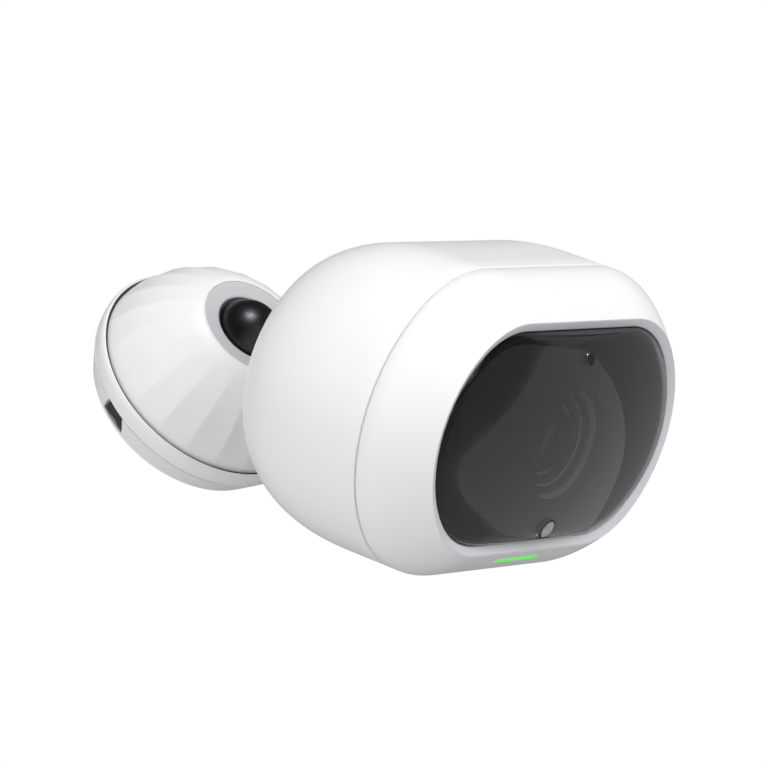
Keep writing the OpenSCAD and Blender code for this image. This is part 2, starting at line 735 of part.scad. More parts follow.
module battery_tray() {
    color("dimgray") on_ball() union() {
        block(0, 0, tray_y, tray_y + tray_t, cell_len + 0.6 + 2 * tray_t, 28);
        for (s = [-1, 1]) block(s * (cell_len / 2 + 0.3 + tray_t / 2), 0, tray_y, cell_y + 4, tray_t, 26);
    }
}

module speaker() {
    color("dimgray") on_ball() {
        rod(speaker_x, 0, rear_y - wall - 4.6, rear_y - wall - 1.4, 7);
        rod(speaker_x, 0, rear_y - wall - 5.4, rear_y - wall - 4.6 + tiny, 4);
    }
}

module key_board() {
    color("green") on_ball() {
        translate([button_x - 5, button_y - 4, -half_h + 6.4]) cube([10, 8, 1]);
        translate([button_x - 1.5, button_y - 1.5, -half_h + 5]) cube([3, 3, 1.4 + tiny]);
    }
}

module power_button() {
    color("lightgray") on_ball() translate([button_x, button_y, -half_h]) {
        cylinder(h = 2, r = button_r);
        translate([0, 0, 2 - tiny]) cylinder(h = 5 - 2 - button_travel - 0.1, r = 1.4);
    }
}

module port_flap() {
    color("lightgray") on_ball() difference() {
        union() {
            translate([flap_x - flap_w / 2, flap_y - flap_d / 2, -half_h]) cube([flap_w, flap_d - knuckle_r, flap_t]);
            translate([flap_x - flap_w / 2, pin_y, pin_z]) rotate([0, 90, 0]) cylinder(h = flap_w, r = knuckle_r);
        }
        translate([flap_x - flap_w, pin_y, pin_z]) rotate([0, 90, 0]) cylinder(h = 2 * flap_w, r = pin_r + 0.05);
    }
}

module flap_pin() {
    color("silver") on_ball() translate([flap_x - flap_w / 2 - 1.5, pin_y, pin_z]) rotate([0, 90, 0])
        cylinder(h = flap_w + 3, r = pin_r);
}

module usb_socket() {
    color("silver") on_ball() translate([flap_x, flap_y, -half_h + flap_t + part_gap + 0.3]) difference() {
        translate([-usb_w / 2 + 0.02, -usb_h / 2 + 0.02, 0]) cube([usb_w - 0.04, usb_h - 0.04, 7]);
        translate([-usb_w / 2 + 0.4, -usb_h / 2 + 0.4, -1]) cube([usb_w - 0.8, usb_h - 0.8, 7]);
    }
}

wall_pad();
wall_plate();
release_tab();
tab_spring();
base_ring();
socket_post();
post_screws();
seat_spring();
ball_seat();
ball_collet();
dome();
collar_ring();
ball_stud();
stud_washer();
threaded_insert();
rear_shell();
front_bezel();
seam_gasket();
rim_trim();
window_gasket();
window_cover();
window_mask();
lens_baffle();
lens_barrel();
lens_front();
lens_rear();
lens_holder();
sensor_board();
image_sensor();
led_boards();
ir_leds();
light_sensor();
microphone();
mic_boot();
status_light();
chassis();
chassis_screws();
main_board();
board_chips();
wifi_antenna();
battery_tray();
battery_cells();
speaker();
key_board();
power_button();
port_flap();
flap_pin();
usb_socket();
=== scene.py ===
"""Looks of a wall-mounted security camera: its fluted base, ball joint and pillow-shaped head.

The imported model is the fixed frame. Each sub-assembly is a class that makes the smooth skins which stand
for its faceted shells, and gives every carried part its finish. Sizes are millimetres in each
sub-assembly's own axes, and an Axes object turns them into the row frame.
"""

from __future__ import annotations

import json
import logging
import math
from dataclasses import dataclass
from enum import Enum
from typing import Sequence

import bmesh
import bpy
from mathutils import Matrix, Vector


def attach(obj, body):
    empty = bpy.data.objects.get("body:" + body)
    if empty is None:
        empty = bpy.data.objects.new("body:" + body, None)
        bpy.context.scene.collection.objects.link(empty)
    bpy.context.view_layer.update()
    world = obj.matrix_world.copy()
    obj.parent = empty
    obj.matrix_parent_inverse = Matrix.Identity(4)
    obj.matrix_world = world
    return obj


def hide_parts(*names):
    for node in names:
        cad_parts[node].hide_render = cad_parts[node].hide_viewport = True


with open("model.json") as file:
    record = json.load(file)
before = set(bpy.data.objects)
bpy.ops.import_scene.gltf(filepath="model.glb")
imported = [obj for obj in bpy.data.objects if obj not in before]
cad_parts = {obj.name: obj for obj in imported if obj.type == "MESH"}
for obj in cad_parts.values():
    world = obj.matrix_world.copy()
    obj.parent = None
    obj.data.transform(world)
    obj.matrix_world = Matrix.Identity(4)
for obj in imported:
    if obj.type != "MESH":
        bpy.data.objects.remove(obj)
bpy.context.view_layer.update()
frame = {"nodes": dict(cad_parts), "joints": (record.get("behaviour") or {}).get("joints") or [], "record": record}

LOG = logging.getLogger("camera")
MM = 0.001
SHARP = math.radians(32)
MERGE = 0.2e-6  # metres between doubled points that become one
CUT = 1.0  # millimetres that a cutter runs past a face

Ring = list[Vector]
Colour = tuple[float, float, float]
Piece = bpy.types.Object
Mesh = bmesh.types.BMesh
Material = bpy.types.Material
Node = bpy.types.Node
NodeTree = bpy.types.NodeTree
Socket = bpy.types.NodeSocket


class Slot(Enum):
    """The record's material slots."""

    SHELL_WHITE = "shell_white"
    BASE_WHITE = "base_white"
    TRIM_GREY = "trim_grey"
    COLLAR_GREY = "collar_grey"
    SOCKET_SLATE = "socket_slate"
    WINDOW_GLASS = "window_glass"
    MASK_BLACK = "mask_black"
    DARK_PLASTIC = "dark_plastic"
    BALL_CHROME = "ball_chrome"
    STEEL = "steel"
    BRASS = "brass"
    RUBBER_BLACK = "rubber_black"
    RUBBER_GREY = "rubber_grey"
    LENS_GLASS = "lens_glass"
    CLEAR_PLASTIC = "clear_plastic"
    LIGHT_GREEN = "light_green"
    BOARD_GREEN = "board_green"
    CHIP_BLACK = "chip_black"
    ANTENNA_FILM = "antenna_film"
    CELL_WRAP = "cell_wrap"


class Body(Enum):
    """The moving bodies that new pieces ride on."""

    CLAMP = "clamp"
    HEAD = "head"


# ---------------------------------------------------------------- axes and meshes


@dataclass(frozen=True)
class Axes:
    """A sub-assembly's own millimetre axes in the row frame."""

    matrix: Matrix

    @staticmethod
    def from_columns(x: Vector, y: Vector, z: Vector, origin: Vector) -> Axes:
        """Build axes from three unit directions.

        Args:
            x: Direction of the own X axis in the row frame.
            y: Direction of the own Y axis.
            z: Direction of the own Z axis.
            origin: Place of the own origin in the row frame, in metres.

        Returns:
            The axes, which turn own millimetres into row metres.
        """
        turn = Matrix((x, y, z)).transposed().to_4x4()
        return Axes(Matrix.Translation(origin) @ turn @ Matrix.Scale(MM, 4))

    def point(self, p: Vector | Sequence[float]) -> Vector:
        """Return a point of these axes in the row frame."""
        return self.matrix @ Vector(p)

    def direction(self, d: Sequence[float]) -> Vector:
        """Return a unit direction of these axes in the row frame."""
        return (self.matrix.to_3x3() @ Vector(d)).normalized()

    def box(self, node: str) -> tuple[Vector, Vector]:
        """Measure a CAD node along these axes.

        Args:
            node: Name of the CAD node.

        Returns:
            Its lowest and highest corners, in these axes' millimetres.
        """
        back = self.matrix.inverted()
        places = [back @ v.co for v in frame["nodes"][node].data.vertices]
        low = Vector(min(p[i] for p in places) for i in range(3))
        high = Vector(max(p[i] for p in places) for i in range(3))
        return low, high


def joint(name: str) -> dict:
    """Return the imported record's joint of that name."""
    return next(j for j in frame["joints"] if j["name"] == name)


def base_axes() -> Axes:
    """Return the base's axes: own Z runs out from the wall, and own Y is up."""
    return Axes.from_columns(Vector((1, 0, 0)), Vector((0, 0, 1)), Vector((0, -1, 0)), Vector((0, 0, 0)))


def head_axes(rim_proud: float) -> Axes:
    """Find the head's axes: own Y runs back from the middle of the window's edge, and own Z is up.

    Args:
        rim_proud: How far the window's rim stands forward of the window's edge, in millimetres.

    Returns:
        The head's axes in the row frame.
    """
    back = -Vector(joint("head_roll")["axis"]).normalized()
    up = Vector(joint("power_press")["axis"]).normalized()
    across = back.cross(up).normalized()
    turned = Axes.from_columns(across, back, up, Vector((0, 0, 0)))
    low, high = turned.box("rim_trim")
    middle = Vector(((low.x + high.x) / 2, low.y + rim_proud, (low.z + high.z) / 2))
    return Axes.from_columns(across, back, up, turned.point(middle))


def loft(rings: Sequence[Ring], looped: bool = False) -> Mesh:
    """Skin a chain of rings with equal numbers of points.

    Args:
        rings: The rings in order.
        looped: Joins the last ring to the first. Otherwise each end is closed by one face.

    Returns:
        A closed mesh with its faces pointing outwards.
    """
    mesh = bmesh.new()
    made = [[mesh.verts.new(p) for p in ring] for ring in rings]
    count = len(made[0])
    spans = zip(made, made[1:] + made[:1]) if looped else zip(made, made[1:])
    for first, second in spans:
        for i in range(count):
            j = (i + 1) % count
            mesh.faces.new((first[i], first[j], second[j], second[i]))
    if not looped:
        mesh.faces.new(made[0])
        mesh.faces.new(made[-1])
    bmesh.ops.recalc_face_normals(mesh, faces=mesh.faces)
    return mesh


def revolve(profile: Sequence[tuple[float, float]], steps: int = 96, close: bool = True) -> Mesh:
    """Turn a profile of (radius, height) pairs about the own Z axis.

    Args:
        profile: Points of the section, at radii above zero.
        steps: Number of segments round the axis.
        close: Joins the last point to the first, as on a ring. Otherwise the ends are closed flat.

    Returns:
        A closed mesh.
    """
    angles = [2 * math.pi * i / steps for i in range(steps)]
    rings = [[Vector((r * math.cos(a), r * math.sin(a), h)) for a in angles] for r, h in profile]
    return loft(rings, looped=close)


def solid(name: str, mesh: Mesh, axes: Axes, turn: Matrix | None = None) -> Piece:
    """Make an object of a mesh drawn in a sub-assembly's axes.

    Args:
        name: The piece's name.
        mesh: The mesh, which is freed.
        axes: The axes it was drawn in.
        turn: A placing inside those axes, done first.

    Returns:
        The object, at the origin with its place in its mesh.
    """
    data = bpy.data.meshes.new(name)
    mesh.transform(axes.matrix @ turn if turn else axes.matrix)
    mesh.to_mesh(data)
    mesh.free()
    made = bpy.data.objects.new(name, data)
    bpy.context.scene.collection.objects.link(made)
    return made


def evaluate(piece: Piece) -> Piece:
    """Turn a piece's modifiers into plain mesh and drop them."""
    depsgraph = bpy.context.evaluated_depsgraph_get()
    done = bpy.data.meshes.new_from_object(piece.evaluated_get(depsgraph))
    piece.modifiers.clear()
    piece.data = done
    done.name = piece.name
    return piece


def combine(body: Piece, tools: Sequence[Piece], how: str) -> Piece:
    """Add solids to a piece or cut them out of it.

    Args:
        body: The piece that changes.
        tools: The other solids, which are removed afterwards.
        how: "UNION" or "DIFFERENCE".

    Returns:
        The changed piece.
    """
    for tool in tools:
        step = body.modifiers.new("combine", "BOOLEAN")
        step.operation = how
        step.solver = "EXACT"
        step.object = tool
    bpy.context.view_layer.update()
    evaluate(body)
    for tool in tools:
        bpy.data.objects.remove(tool)
    return body


def shade(piece: Piece, sharp: float = SHARP) -> Piece:
    """Shade a piece smooth, with sharp edges where its faces turn by more than an angle."""
    mesh = bmesh.new()
    mesh.from_mesh(piece.data)
    bmesh.ops.remove_doubles(mesh, verts=mesh.verts, dist=MERGE)
    bmesh.ops.dissolve_degenerate(mesh, edges=mesh.edges, dist=MERGE)
    for face in mesh.faces:
        face.smooth = True
    for edge in mesh.edges:
        edge.smooth = len(edge.link_faces) == 2 and edge.calc_face_angle(0.0) < sharp
    mesh.to_mesh(piece.data)
    mesh.free()
    return piece


def bar(x: float, y: float, z: float, w: float, d: float, h: float) -> Mesh:
    """Make a block from one corner and its three sizes."""
    mesh = bmesh.new()
    bmesh.ops.create_cube(mesh, size=1.0)
    mesh.transform(Matrix.Translation((x + w / 2, y + d / 2, z + h / 2)) @ Matrix.Diagonal((w, d, h, 1)))
    return mesh


def upright(x: float, y: float, z: float) -> Matrix:
    """Place a turned piece with its axis along the head's Z, from (x, y, z)."""
    return Matrix.Translation((x, y, z))


def lengthways(x: float, y: float, z: float) -> Matrix:
    """Place a turned piece with its axis along the head's Y, from (x, y, z) backwards."""
    return Matrix.Translation((x, y, z)) @ Matrix.Rotation(-math.pi / 2, 4, "X")


def sideways(x: float, y: float, z: float) -> Matrix:
    """Place a turned piece with its axis along the head's X, from (x, y, z)."""
    return Matrix.Translation((x, y, z)) @ Matrix.Rotation(math.pi / 2, 4, "Y")


def drum(r: float, h: float, steps: int = 64, chamfer: float = 0.0) -> Mesh:
    """Make a short turned cylinder along Z from its foot.

    Args:
        r: Radius.
        h: Height.
        steps: Number of segments.
        chamfer: Size of the chamfer at the top.

    Returns:
        A closed mesh.
    """
    profile = [(r, 0.0), (r, h - chamfer), (r - chamfer, h)] if chamfer else [(r, 0.0), (r, h)]
    return revolve(profile, steps, close=False)


# ---------------------------------------------------------------- shared shader effects


class Tree:
    """A short way to add and join shader nodes."""

    def __init__(self, tree: NodeTree) -> None:
        """Wrap a node tree."""
        self.tree = tree

    def add(self, kind: str, **settings: object) -> Node:
        """Add a node of that kind and set its properties."""
        node = self.tree.nodes.new(kind)
        for key, value in settings.items():
            setattr(node, key, value)
        return node

    def join(self, source: Socket, target: Socket) -> None:
        """Link two sockets."""
        self.tree.links.new(source, target)

    def math(self, how: str, a: Socket, b: Socket | float) -> Socket:
        """Add a math node on a socket and a socket or number, and return its output."""
        node = self.add("ShaderNodeMath", operation=how)
        self.join(a, node.inputs[0])
        if isinstance(b, (int, float)):
            node.inputs[1].default_value = b
        else:
            self.join(b, node.inputs[1])
        return node.outputs[0]

    def remap(self, a: Socket, low: float, high: float, to: tuple[float, float]) -> Socket:
        """Map a socket's span to another span, and return the output."""
        node = self.add("ShaderNodeMapRange")
        self.join(a, node.inputs["Value"])
        node.inputs["From Min"].default_value = low
        node.inputs["From Max"].default_value = high
        node.inputs["To Min"].default_value = to[0]
        node.inputs["To Max"].default_value = to[1]
        return node.outputs["Result"]

    def per(self, top: float, a: Socket) -> Socket:
        """Divide a number by a socket, and return the output."""
        node = self.add("ShaderNodeMath", operation="DIVIDE")
        node.inputs[0].default_value = top
        self.join(a, node.inputs[1])
        return node.outputs[0]

    def blend(self, factor: Socket, a: Colour, b: Colour) -> Socket:
        """Mix two colours, and return the output."""
        node = self.add("ShaderNodeMix", data_type="RGBA")
        self.join(factor, node.inputs["Factor"])
        node.inputs["A"].default_value = (*a, 1)
        node.inputs["B"].default_value = (*b, 1)
        return node.outputs["Result"]

    def noise(self, vector: Socket, scale: Socket, detail: float) -> Socket:
        """Add a noise texture and return its factor."""
        node = self.add("ShaderNodeTexNoise")
        node.inputs["Detail"].default_value = detail
        self.join(vector, node.inputs["Vector"])
        self.join(scale, node.inputs["Scale"])
        return node.outputs["Fac"]


class Effects:
    """Shader node groups that several finishes share. Their sizes are in millimetres."""

    def __init__(self) -> None:
        """Build each group once."""
        self.grain = self._grain()
        self.strokes = self._strokes()
        self.rings = self._rings()

    @staticmethod
    def _start(name: str, inputs: dict[str, float], outputs: Sequence[str]) -> tuple[Tree, Node, Node]:
        """Open a group with a Vector input, named float inputs and float outputs."""
        tree = bpy.data.node_groups.new(name, "ShaderNodeTree")
        tree.interface.new_socket("Vector", in_out="INPUT", socket_type="NodeSocketVector")
        for key, value in inputs.items():
            socket = tree.interface.new_socket(key, in_out="INPUT", socket_type="NodeSocketFloat")
            socket.default_value = value
        for key in outputs:
            tree.interface.new_socket(key, in_out="OUTPUT", socket_type="NodeSocketFloat")
        nodes = Tree(tree)
        return nodes, nodes.add("NodeGroupInput"), nodes.add("NodeGroupOutput")

    def _grain(self) -> NodeTree:
        """Moulded or cast surface: a fine pebble height, a slow cloud and handling smudges."""
        inputs = {"Grain": 0.3, "Cloud": 20.0}
        nodes, start, end = self._start("surface_grain", inputs, ("Height", "Cloud", "Smudge"))
        per_grain = nodes.per(1 / MM, start.outputs["Grain"])
        per_cloud = nodes.per(1 / MM, start.outputs["Cloud"])
        vector = start.outputs["Vector"]
        nodes.join(nodes.noise(vector, per_grain, 2.0), end.inputs["Height"])
        cloud = nodes.noise(vector, per_cloud, 3.0)
        nodes.join(nodes.remap(cloud, 0.3, 0.7, (0.0, 1.0)), end.inputs["Cloud"])
        smudge = nodes.noise(vector, nodes.math("MULTIPLY", per_cloud, 2.7), 5.0)
        nodes.join(nodes.remap(smudge, 0.5, 0.75, (0.0, 1.0)), end.inputs["Smudge"])
        return nodes.tree

    def _strokes(self) -> NodeTree:
        """Brushed or drawn metal: fine strokes along the vector's X, with a few deeper ones."""
        nodes, start, end = self._start("brushed_strokes", {"Stroke": 0.12, "Length": 40.0}, ("Height", "Wear"))
        squash = nodes.add("ShaderNodeVectorMath", operation="MULTIPLY")
        shrink = nodes.add("ShaderNodeCombineXYZ")
        shrink.inputs["Y"].default_value = 1.0
        shrink.inputs["Z"].default_value = 1.0
        nodes.join(nodes.per(1.0, start.outputs["Length"]), shrink.inputs["X"])
        nodes.join(start.outputs["Vector"], squash.inputs[0])
        nodes.join(shrink.outputs[0], squash.inputs[1])
        per_stroke = nodes.per(1 / MM, start.outputs["Stroke"])
        nodes.join(nodes.noise(squash.outputs[0], per_stroke, 3.0), end.inputs["Height"])
        wear = nodes.noise(start.outputs["Vector"], nodes.math("MULTIPLY", per_stroke, 0.06), 4.0)
        nodes.join(nodes.remap(wear, 0.4, 0.7, (0.0, 1.0)), end.inputs["Wear"])
        return nodes.tree

    def _rings(self) -> NodeTree:
        """Turned surface: fine tool rings round the vector's Y axis."""
        nodes, start, end = self._start("turned_rings", {"Pitch": 0.3}, ("Height",))
        parts = nodes.add("ShaderNodeSeparateXYZ")
        nodes.join(start.outputs["Vector"], parts.inputs[0])
        x2 = nodes.math("POWER", parts.outputs["X"], 2.0)
        z2 = nodes.math("POWER", parts.outputs["Z"], 2.0)
        radius = nodes.math("SQRT", nodes.math("ADD", x2, z2), 0.0)
        turns = nodes.math("DIVIDE", nodes.math("DIVIDE", radius, MM), start.outputs["Pitch"])
        wave = nodes.math("SINE", nodes.math("MULTIPLY", turns, 2 * math.pi), 0.0)
        nodes.join(nodes.remap(wave, -1.0, 1.0, (0.0, 1.0)), end.inputs["Height"])
        return nodes.tree


# ---------------------------------------------------------------- finishes


@dataclass(frozen=True)
class Finish:
    """What every finish has: a name, a colour, a roughness and how much each of them varies."""

    name: str
    colour: Colour
    roughness: float
    tone: float = 0.03
    spread: float = 0.06
    grain: float = 0.3
    depth: float = 0.004
    cloud: float = 18.0

    def build(self, effects: Effects, axes: Axes) -> Material:
        """Make the material.

        Args:
            effects: The shared shader groups.
            axes: The axes that its pattern follows.

        Returns:
            A material with one Principled shader.
        """
        material = bpy.data.materials.new(self.name)
        material.use_nodes = True
        nodes = Tree(material.node_tree)
        nodes.tree.nodes.clear()
        shader = nodes.add("ShaderNodeBsdfPrincipled")
        output = nodes.add("ShaderNodeOutputMaterial")
        nodes.join(self.surface(nodes, shader), output.inputs["Surface"])
        coordinates = nodes.add("ShaderNodeTexCoord")
        place = nodes.add("ShaderNodeMapping", vector_type="TEXTURE")
        place.inputs["Location"].default_value = axes.matrix.translation
        place.inputs["Rotation"].default_value = axes.matrix.to_3x3().normalized().to_euler()
        nodes.join(coordinates.outputs["Object"], place.inputs["Vector"])
        self.dress(nodes, shader, place.outputs["Vector"], effects)
        return material

    def surface(self, nodes: Tree, shader: Node) -> Socket:
        """Return what the material shows, which is the shader itself unless a finish adds to it."""
        return shader.outputs["BSDF"]

    def grained(self, nodes: Tree, shader: Node, vector: Socket, effects: Effects) -> Node:
        """Give the shader its colour, roughness and fine bump from the grain group, and return the group."""
        grain = nodes.add("ShaderNodeGroup", node_tree=effects.grain)
        nodes.join(vector, grain.inputs["Vector"])
        grain.inputs["Grain"].default_value = self.grain
        grain.inputs["Cloud"].default_value = self.cloud
        dark = tuple(c * (1 - self.tone) for c in self.colour)
        pale = tuple(min(1.0, c * (1 + self.tone)) for c in self.colour)
        nodes.join(nodes.blend(grain.outputs["Cloud"], dark, pale), shader.inputs["Base Color"])
        rough = nodes.remap(grain.outputs["Smudge"], 0.0, 1.0, (self.roughness, self.roughness + self.spread))
        nodes.join(rough, shader.inputs["Roughness"])
        if self.depth:
            self.bump(nodes, shader, grain.outputs["Height"])
        return grain

    def bump(self, nodes: Tree, shader: Node, height: Socket) -> None:
        """Turn a height into the shader's normal, over the finish's depth."""
        bump = nodes.add("ShaderNodeBump")
        bump.inputs["Strength"].default_value = 1.0
        bump.inputs["Distance"].default_value = self.depth * MM
        nodes.join(height, bump.inputs["Height"])
        nodes.join(bump.outputs["Normal"], shader.inputs["Normal"])

    def dress(self, nodes: Tree, shader: Node, vector: Socket, effects: Effects) -> None:
        """Set the shader's sockets. Each kind of finish has its own."""
        raise NotImplementedError


@dataclass(frozen=True)
class Moulded(Finish):
    """Moulded plastic or rubber: pebble grain, a slow change of tone and handling smudges."""

    coat: float = 0.0
    coat_roughness: float = 0.2

    def dress(self, nodes: Tree, shader: Node, vector: Socket, effects: Effects) -> None:
        """Dress the shader as moulded plastic."""
        self.grained(nodes, shader, vector, effects)
        shader.inputs["Coat Weight"].default_value = self.coat
        shader.inputs["Coat Roughness"].default_value = self.coat_roughness


@dataclass(frozen=True)
class Metal(Finish):
    """Bare or plated metal with brushed strokes and worn patches."""

    stroke: float = 0.12
    length: float = 30.0

    def dress(self, nodes: Tree, shader: Node, vector: Socket, effects: Effects) -> None:
        """Dress the shader as metal."""
        shader.inputs["Metallic"].default_value = 1.0
        strokes = nodes.add("ShaderNodeGroup", node_tree=effects.strokes)
        nodes.join(vector, strokes.inputs["Vector"])
        strokes.inputs["Stroke"].default_value = self.stroke
        strokes.inputs["Length"].default_value = self.length
        worn = tuple(c * (1 - 3 * self.tone) for c in self.colour)
        nodes.join(nodes.blend(strokes.outputs["Wear"], self.colour, worn), shader.inputs["Base Color"])
        rough = nodes.remap(strokes.outputs["Wear"], 0.0, 1.0, (self.roughness, self.roughness + self.spread))
        nodes.join(rough, shader.inputs["Roughness"])
        self.bump(nodes, shader, strokes.outputs["Height"])


@dataclass(frozen=True)
class Glass(Finish):
    """Clear, tinted or coated glass, with faint smudges and an optional thin coating."""

    ior: float = 1.49
    coating_nm: float = 0.0
    coating_ior: float = 1.7
    clear: float = 0.0
    through: float = 1.0

    def surface(self, nodes: Tree, shader: Node) -> Socket:
        """Let lights shine through in part, so that what lies behind the glass is lit."""
        if not self.clear:
            return shader.outputs["BSDF"]
        mix = nodes.add("ShaderNodeMixShader")
        ray = nodes.add("ShaderNodeLightPath")
        veil = nodes.add("ShaderNodeBsdfTransparent")
        veil.inputs["Color"].default_value = (self.clear, self.clear, self.clear, 1)
        nodes.join(ray.outputs["Is Shadow Ray"], mix.inputs[0])
        nodes.join(shader.outputs["BSDF"], mix.inputs[1])
        nodes.join(veil.outputs[0], mix.inputs[2])
        return mix.outputs[0]

    def dress(self, nodes: Tree, shader: Node, vector: Socket, effects: Effects) -> None:
        """Dress the shader as glass."""
        self.grained(nodes, shader, vector, effects)
        shader.inputs["Transmission Weight"].default_value = self.through
        shader.inputs["IOR"].default_value = self.ior
        if self.coating_nm:
            shader.inputs["Thin Film Thickness"].default_value = self.coating_nm
            shader.inputs["Thin Film IOR"].default_value = self.coating_ior


@dataclass(frozen=True)
class Turned(Finish):
    """Dark plastic with fine turned rings that trap light, as inside a lens."""

    pitch: float = 0.35

    def dress(self, nodes: Tree, shader: Node, vector: Socket, effects: Effects) -> None:
        """Dress the shader as a turned baffle."""
        self.grained(nodes, shader, vector, effects)
        rings = nodes.add("ShaderNodeGroup", node_tree=effects.rings)
        nodes.join(vector, rings.inputs["Vector"])
        rings.inputs["Pitch"].default_value = self.pitch
        self.bump(nodes, shader, rings.outputs["Height"])


@dataclass(frozen=True)
class Lamp(Finish):
    """A lit light guide: its glow is even, with a slightly paler green that comes and goes in soft patches."""

    core: Colour = (0.5, 1.0, 0.45)
    strength: float = 1.0

    def dress(self, nodes: Tree, shader: Node, vector: Socket, effects: Effects) -> None:
        """Dress the shader as a lit light guide."""
        grain = self.grained(nodes, shader, vector, effects)
        nodes.join(nodes.blend(grain.outputs["Cloud"], self.colour, self.core), shader.inputs["Emission Color"])
        shader.inputs["Emission Strength"].default_value = self.strength


@dataclass(frozen=True)
class Board(Finish):
    """A printed board: solder mask over a net of copper tracks, with the bare laminate's fleck."""

    track: Colour = (0.06, 0.36, 0.16)
    pitch: float = 1.6
    track_share: float = 0.06
    track_height: float = 0.7

    def dress(self, nodes: Tree, shader: Node, vector: Socket, effects: Effects) -> None:
        """Dress the shader as a printed board."""
        grain = self.grained(nodes, shader, vector, effects)
        flat = nodes.add("ShaderNodeMapping")
        flat.inputs["Rotation"].default_value = (math.pi / 2, 0, 0)
        nodes.join(vector, flat.inputs["Vector"])
        bricks = nodes.add("ShaderNodeTexBrick")
        nodes.join(flat.outputs["Vector"], bricks.inputs["Vector"])
        bricks.inputs["Scale"].default_value = 1 / (self.pitch * MM)
        bricks.inputs["Mortar Size"].default_value = self.track_share
        bricks.inputs["Color1"].default_value = (*self.colour, 1)
        bricks.inputs["Color2"].default_value = (*(c * 0.8 for c in self.colour), 1)
        bricks.inputs["Mortar"].default_value = (*self.track, 1)
        nodes.join(bricks.outputs["Color"], shader.inputs["Base Color"])
        tracks = nodes.math("MULTIPLY", bricks.outputs["Fac"], self.track_height)
        self.bump(nodes, shader, nodes.math("ADD", tracks, grain.outputs["Height"]))


FINISHES: dict[Slot, Finish] = {
    Slot.SHELL_WHITE: Moulded("shell_white", (0.9, 0.9, 0.905), 0.34, 0.006, 0.05, 0.25, 0.0015, 30.0),
    Slot.BASE_WHITE: Moulded("base_white", (0.87, 0.87, 0.88), 0.4, 0.01, 0.06, 0.3, 0.002, 14.0),
    Slot.TRIM_GREY: Moulded("trim_grey", (0.74, 0.76, 0.8), 0.36, 0.01, 0.05, 0.2, 0.001, 14.0),
    Slot.COLLAR_GREY: Moulded("collar_grey", (0.6, 0.6, 0.62), 0.34, 0.015, 0.06, 0.22, 0.002, 10.0),
    Slot.SOCKET_SLATE: Moulded("socket_slate", (0.1, 0.11, 0.13), 0.4, 0.04, 0.1, 0.25, 0.003, 8.0),
    Slot.WINDOW_GLASS: Glass("window_glass", (0.4, 0.4, 0.405), 0.0, 0.02, 0.02, 0.4, 0.0, 22.0, clear=0.1),
    Slot.MASK_BLACK: Turned("mask_black", (0.008, 0.008, 0.0085), 0.55, 0.1, 0.1, 0.2, 0.0004, 8.0),
    Slot.DARK_PLASTIC: Moulded("dark_plastic", (0.045, 0.045, 0.05), 0.45, 0.06, 0.12, 0.3, 0.006, 12.0),
    Slot.BALL_CHROME: Metal("ball_chrome", (0.085, 0.085, 0.09), 0.34, 0.04, 0.05, 0.08, 0.0002, 6.0),
    Slot.STEEL: Metal("steel", (0.6, 0.6, 0.61), 0.26, 0.05, 0.14),
    Slot.BRASS: Metal("brass", (0.72, 0.53, 0.26), 0.28, 0.06, 0.16),
    Slot.RUBBER_BLACK: Moulded("rubber_black", (0.03, 0.03, 0.03), 0.68, 0.08, 0.1, 0.4, 0.012, 10.0),
    Slot.RUBBER_GREY: Moulded("rubber_grey", (0.42, 0.43, 0.45), 0.66, 0.03, 0.1, 0.4, 0.01, 10.0),
    Slot.LENS_GLASS: Glass(
        "lens_glass", (0.9, 0.94, 0.96), 0.01, 0.01, 0.01, 0.3, 0.0, 9.0, ior=1.7, coating_nm=420.0, clear=0.8
    ),
    Slot.CLEAR_PLASTIC: Glass(
        "clear_plastic", (0.92, 0.93, 0.92), 0.06, 0.02, 0.05, 0.2, 0.002, 3.0, ior=1.5, clear=0.9, through=0.7
    ),
    Slot.LIGHT_GREEN: Lamp(
        "light_green", (0.1, 0.7, 0.07), 0.5, 0.04, 0.05, 0.3, 0.002, 8.0, (0.12, 0.74, 0.09), strength=0.75
    ),
    Slot.BOARD_GREEN: Board("board_green", (0.02, 0.17, 0.08), 0.38, 0.05, 0.1, 0.2, 0.01, 9.0),
    Slot.CHIP_BLACK: Moulded("chip_black", (0.03, 0.03, 0.032), 0.5, 0.05, 0.12, 0.15, 0.004, 5.0),
    Slot.ANTENNA_FILM: Metal("antenna_film", (0.7, 0.5, 0.3), 0.35, 0.08, 0.12),
    Slot.CELL_WRAP: Moulded("cell_wrap", (0.04, 0.15, 0.5), 0.2, 0.04, 0.1, 3.0, 0.02, 15.0, coat=0.4),
}


